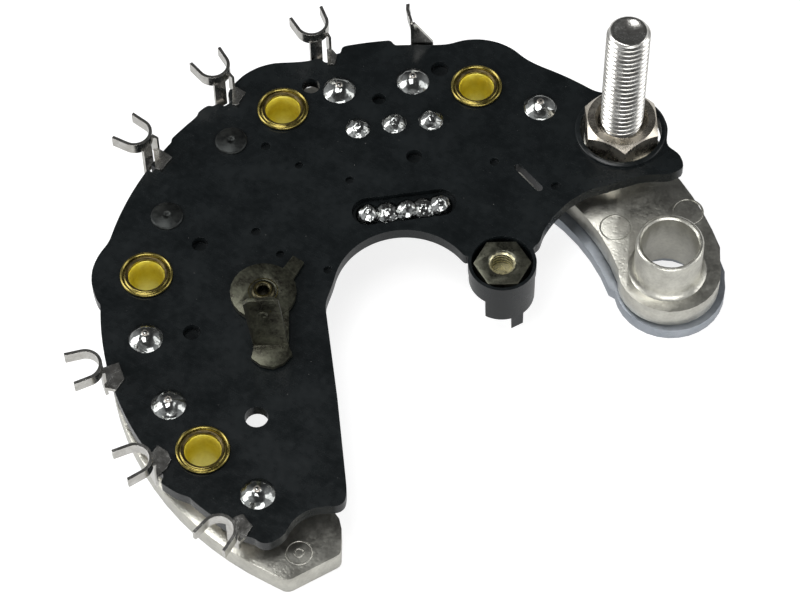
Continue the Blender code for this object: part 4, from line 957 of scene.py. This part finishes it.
ball = put(solder_tree, "GeometryNodeMeshIcoSphere", Radius=1.0, Subdivisions=5)
on_ball = put(solder_tree, "GeometryNodeInputPosition").outputs["Position"]
axes = put(solder_tree, "ShaderNodeSeparateXYZ", Vector=on_ball).outputs
upper_half = rule("MAXIMUM", axes["Z"], 0.0)
from_axis = rule("SQRT", rule("ADD", rule("MULTIPLY", axes["X"], axes["X"]),
                              rule("MULTIPLY", axes["Y"], axes["Y"])))
print("places ready, nodes:", len(solder_tree.nodes))

# %% Solder tree: dome
DOME_POWER = 1.9
PIP_HEIGHT = 0.16
uneven_noise = put(solder_tree, "ShaderNodeTexNoise", {"noise_dimensions": "4D"}, Vector=on_ball,
                   W=given["Seed"], Scale=1.7, Detail=2.0, Roughness=0.5)
swell = rule("MULTIPLY", rule("SUBTRACT", uneven_noise.outputs["Fac"], 0.5), given["Uneven"])
pip = rule("MULTIPLY", rule("GREATER_THAN", upper_half, 0.5),
           remap(solder_tree, from_axis, 0.08, 0.26, PIP_HEIGHT, 0.0, smooth=True))
dome_level = rule("ADD", rule("POWER", upper_half, DOME_POWER),
                  rule("MULTIPLY", rule("ADD", swell, pip), upper_half))
reach = rule("MULTIPLY", given["Radius"], rule("ADD", 1.0, rule("MULTIPLY", swell, 0.35)))
moved = put(solder_tree, "ShaderNodeCombineXYZ", X=rule("MULTIPLY", axes["X"], reach),
            Y=rule("MULTIPLY", axes["Y"], reach), Z=rule("MULTIPLY", dome_level, given["Height"]))
bead = put(solder_tree, "GeometryNodeSetPosition", Geometry=ball.outputs["Mesh"],
           Position=moved.outputs["Vector"])
real = put(solder_tree, "GeometryNodeRealizeInstances", Geometry=bead.outputs["Geometry"])
painted = put(solder_tree, "GeometryNodeSetMaterial", Geometry=real.outputs["Geometry"],
              Material=given["Finish"])
wire(solder_tree, painted.outputs["Geometry"], end.inputs["Geometry"])
print("tree:", solder_tree.name, "with", len(solder_tree.nodes), "nodes")

# %% Beads from the tree
def grown(tree, **values):
    """Mesh that a Geometry Nodes tree makes with these inputs."""
    holder = bpy.data.objects.new("holder", bpy.data.meshes.new("holder"))
    grow = holder.modifiers.new("grow", "NODES")
    grow.node_group = tree
    for item in tree.interface.items_tree:
        if item.item_type == "SOCKET" and item.in_out == "INPUT" and item.name in values:
            grow[item.identifier] = values[item.name]
    scene.collection.objects.link(holder)
    bpy.context.view_layer.update()
    made = bpy.data.meshes.new_from_object(holder.evaluated_get(bpy.context.evaluated_depsgraph_get()))
    holder.modifiers.remove(grow)
    bpy.data.objects.remove(holder)
    return made


def bead_at(place, level, radius, tall, uneven, seed):
    """A bright bead of solder at one place of the board."""
    mesh = grown(solder_tree, Radius=radius, Height=tall, Uneven=uneven, Seed=seed, Finish=solder_bright)
    mesh.transform(Matrix.Translation((*place, level)))
    return mesh


print("bead helper ready")

# %% Solder joints
REST = BOARD_TOP + 0.05
FLAT_JOINT = ((0, 0.12), (0.45, 0.2), (0.62, 0.55), (0.9, 0.6), (1.15, 0.5), (2.7, 0.5), (3.0, 0.3),
              (3.0, 0), (0, 0))
for number, spot in enumerate(diode_spots, 1):
    if number in FLAT_JOINTS:
        look = solder_dull
        mesh = turned("flat_joint", [(radius, REST + rise) for radius, rise in FLAT_JOINT], spot, 48)
    else:
        look = solder_bright
        mesh = bead_at(spot, REST, 3.1, 1.7, 0.22, 3.7 * number)
    piece(f"joint_{number}", mesh, look, [f"solder_joint_{number}"], limit=60.0)
for number, spot in enumerate(OUTER_JOINTS, 1):
    mesh = bead_at(spot, REST, 2.3, 1.5, 0.45, 20.0 + number)
    piece(f"small_joint_{number}", mesh, solder_bright, [f"small_solder_joint_{number}"],
          limit=60.0)
print("solder joints:", len(diode_spots) + len(OUTER_JOINTS))

# %% [markdown]
# The slot holds one run of solder over three leads. Three tall beads and two low ones between them
# overlap into one uneven bar.

# %% Long joint in the slot
bed = BOARD_TOP - SLOT_DEPTH + 0.25
lumps = [bead_at(spot, bed, 2.3, 2.1, 0.45, 31.0 + i) for i, spot in enumerate(INNER_JOINTS)]
between = [((a[0] + b[0]) / 2, (a[1] + b[1]) / 2) for a, b in zip(INNER_JOINTS, INNER_JOINTS[1:])]
lumps += [bead_at(spot, bed, 2.3, 1.2, 0.6, 41.0 + i) for i, spot in enumerate(between)]
piece("long_joint", merged("long_joint", lumps), solder_bright, ["long_solder_joint"], limit=60.0)
print("long joint lumps:", len(lumps))

# %% [markdown]
# The links, the strap to the post and the small diodes are hidden under the board, so they keep
# the shapes of their measured solids.

# %% Links, strap and small diodes
bars = ("neutral_link", "phase_link_1", "phase_link_2", "phase_link_3", "field_strap")
for name in bars:
    piece(name.replace("link", "bar"), copied(name), copper_tinned, [name], bevel=0.08)
for number in range(1, 4):
    piece(f"small_diode_{number}", copied(f"field_diode_{number}"), diode_black,
          [f"field_diode_{number}"])
print("bars:", len(bars))

# %% [markdown]
# The plate in the post has a tapped hole. The solid's bore is plain, so a thread of brighter metal
# lies in it, made like the stud's but on the inside, and a disc under it closes the hole.

# %% Tapped plate
TAP_RADIUS, TAP_PITCH, TAP_ROWS = 2.0, 0.8, 36
piece("tapped_plate", copied("post_tapped_plate"), tapped_zinc, ["post_tapped_plate"],
      bevel=0.12, limit=35.0)
plate_top = height("post_tapped_plate")


def tapped_thread(radius, level, turn):
    """The thread is on the bore's rows alone; wider rows stay round."""
    phase = (level / TAP_PITCH - turn / math.tau) % 1.0
    return radius + (0.35 * abs(phase - 0.5) if radius < 2.3 else 0.0)


profile = [(2.62, plate_top - 0.12), (2.35, plate_top - 0.30)]
profile += [(TAP_RADIUS, plate_top - 0.42 - 0.08 * i) for i in range(TAP_ROWS)] + [(2.5, plate_top - 3.3)]
threaded = turned("thread", profile, POST, 48, closed=True, wobble=tapped_thread)
disc = turned("disc", [(0, plate_top - 3.0), (2.4, plate_top - 3.0), (2.4, plate_top - 3.3),
                       (0, plate_top - 3.3)], POST, 48)
piece("insert_thread", merged("insert_thread", [threaded, disc]), insert_brass, [], limit=50.0)
print("thread rows:", TAP_ROWS)

# %% [markdown]
# A hollow rivet holds the blade's round foot. Its head is rolled over and dark. Two thin rims of
# brighter brass are painted highlights: one on the crest of the rolled head and one on a pressed
# line in the foot round it.

# %% Rivet
LUG_LIFT, LUG_THICK, CLEARANCE = 0.3, 1.2, 0.05
seat = BOARD_TOP + LUG_LIFT + LUG_THICK + CLEARANCE
under = BOARD_BASE - LUG_LIFT
profile = [(0.95, seat - 0.2), (1.05, seat + 0.25), (1.3, seat + 0.5), (1.65, seat + 0.6), (2.0, seat + 0.45),
           (2.2, seat + 0.1), (2.15, seat - 0.02), (1.5, seat), (1.5, under), (2.2, under),
           (2.1, under - 0.5), (1.0, under - 0.5)]
piece("rivet", turned("rivet", profile, SPADE, 40, closed=True), rivet_brass, ["blade_rivet"],
      limit=50.0)
# Painted highlights: thin rims of brighter brass on the crest of the rolled head and on the pressed line in
# the foot.
rim_highlights = [low_ring(SPADE, radius, face, 0.07, 0.05, 40) for radius, face in ((2.62, seat), (1.5, seat + 0.57))]
piece("rivet_rim_highlights", merged("rivet_rim_highlights", rim_highlights), brass, [], limit=60.0)
print("rivet rims:", len(rim_highlights))

# %% [markdown]
# Last, the colours are shown through the Standard view transform.

# %% View transform and the end
scene.view_settings.view_transform = "Standard"
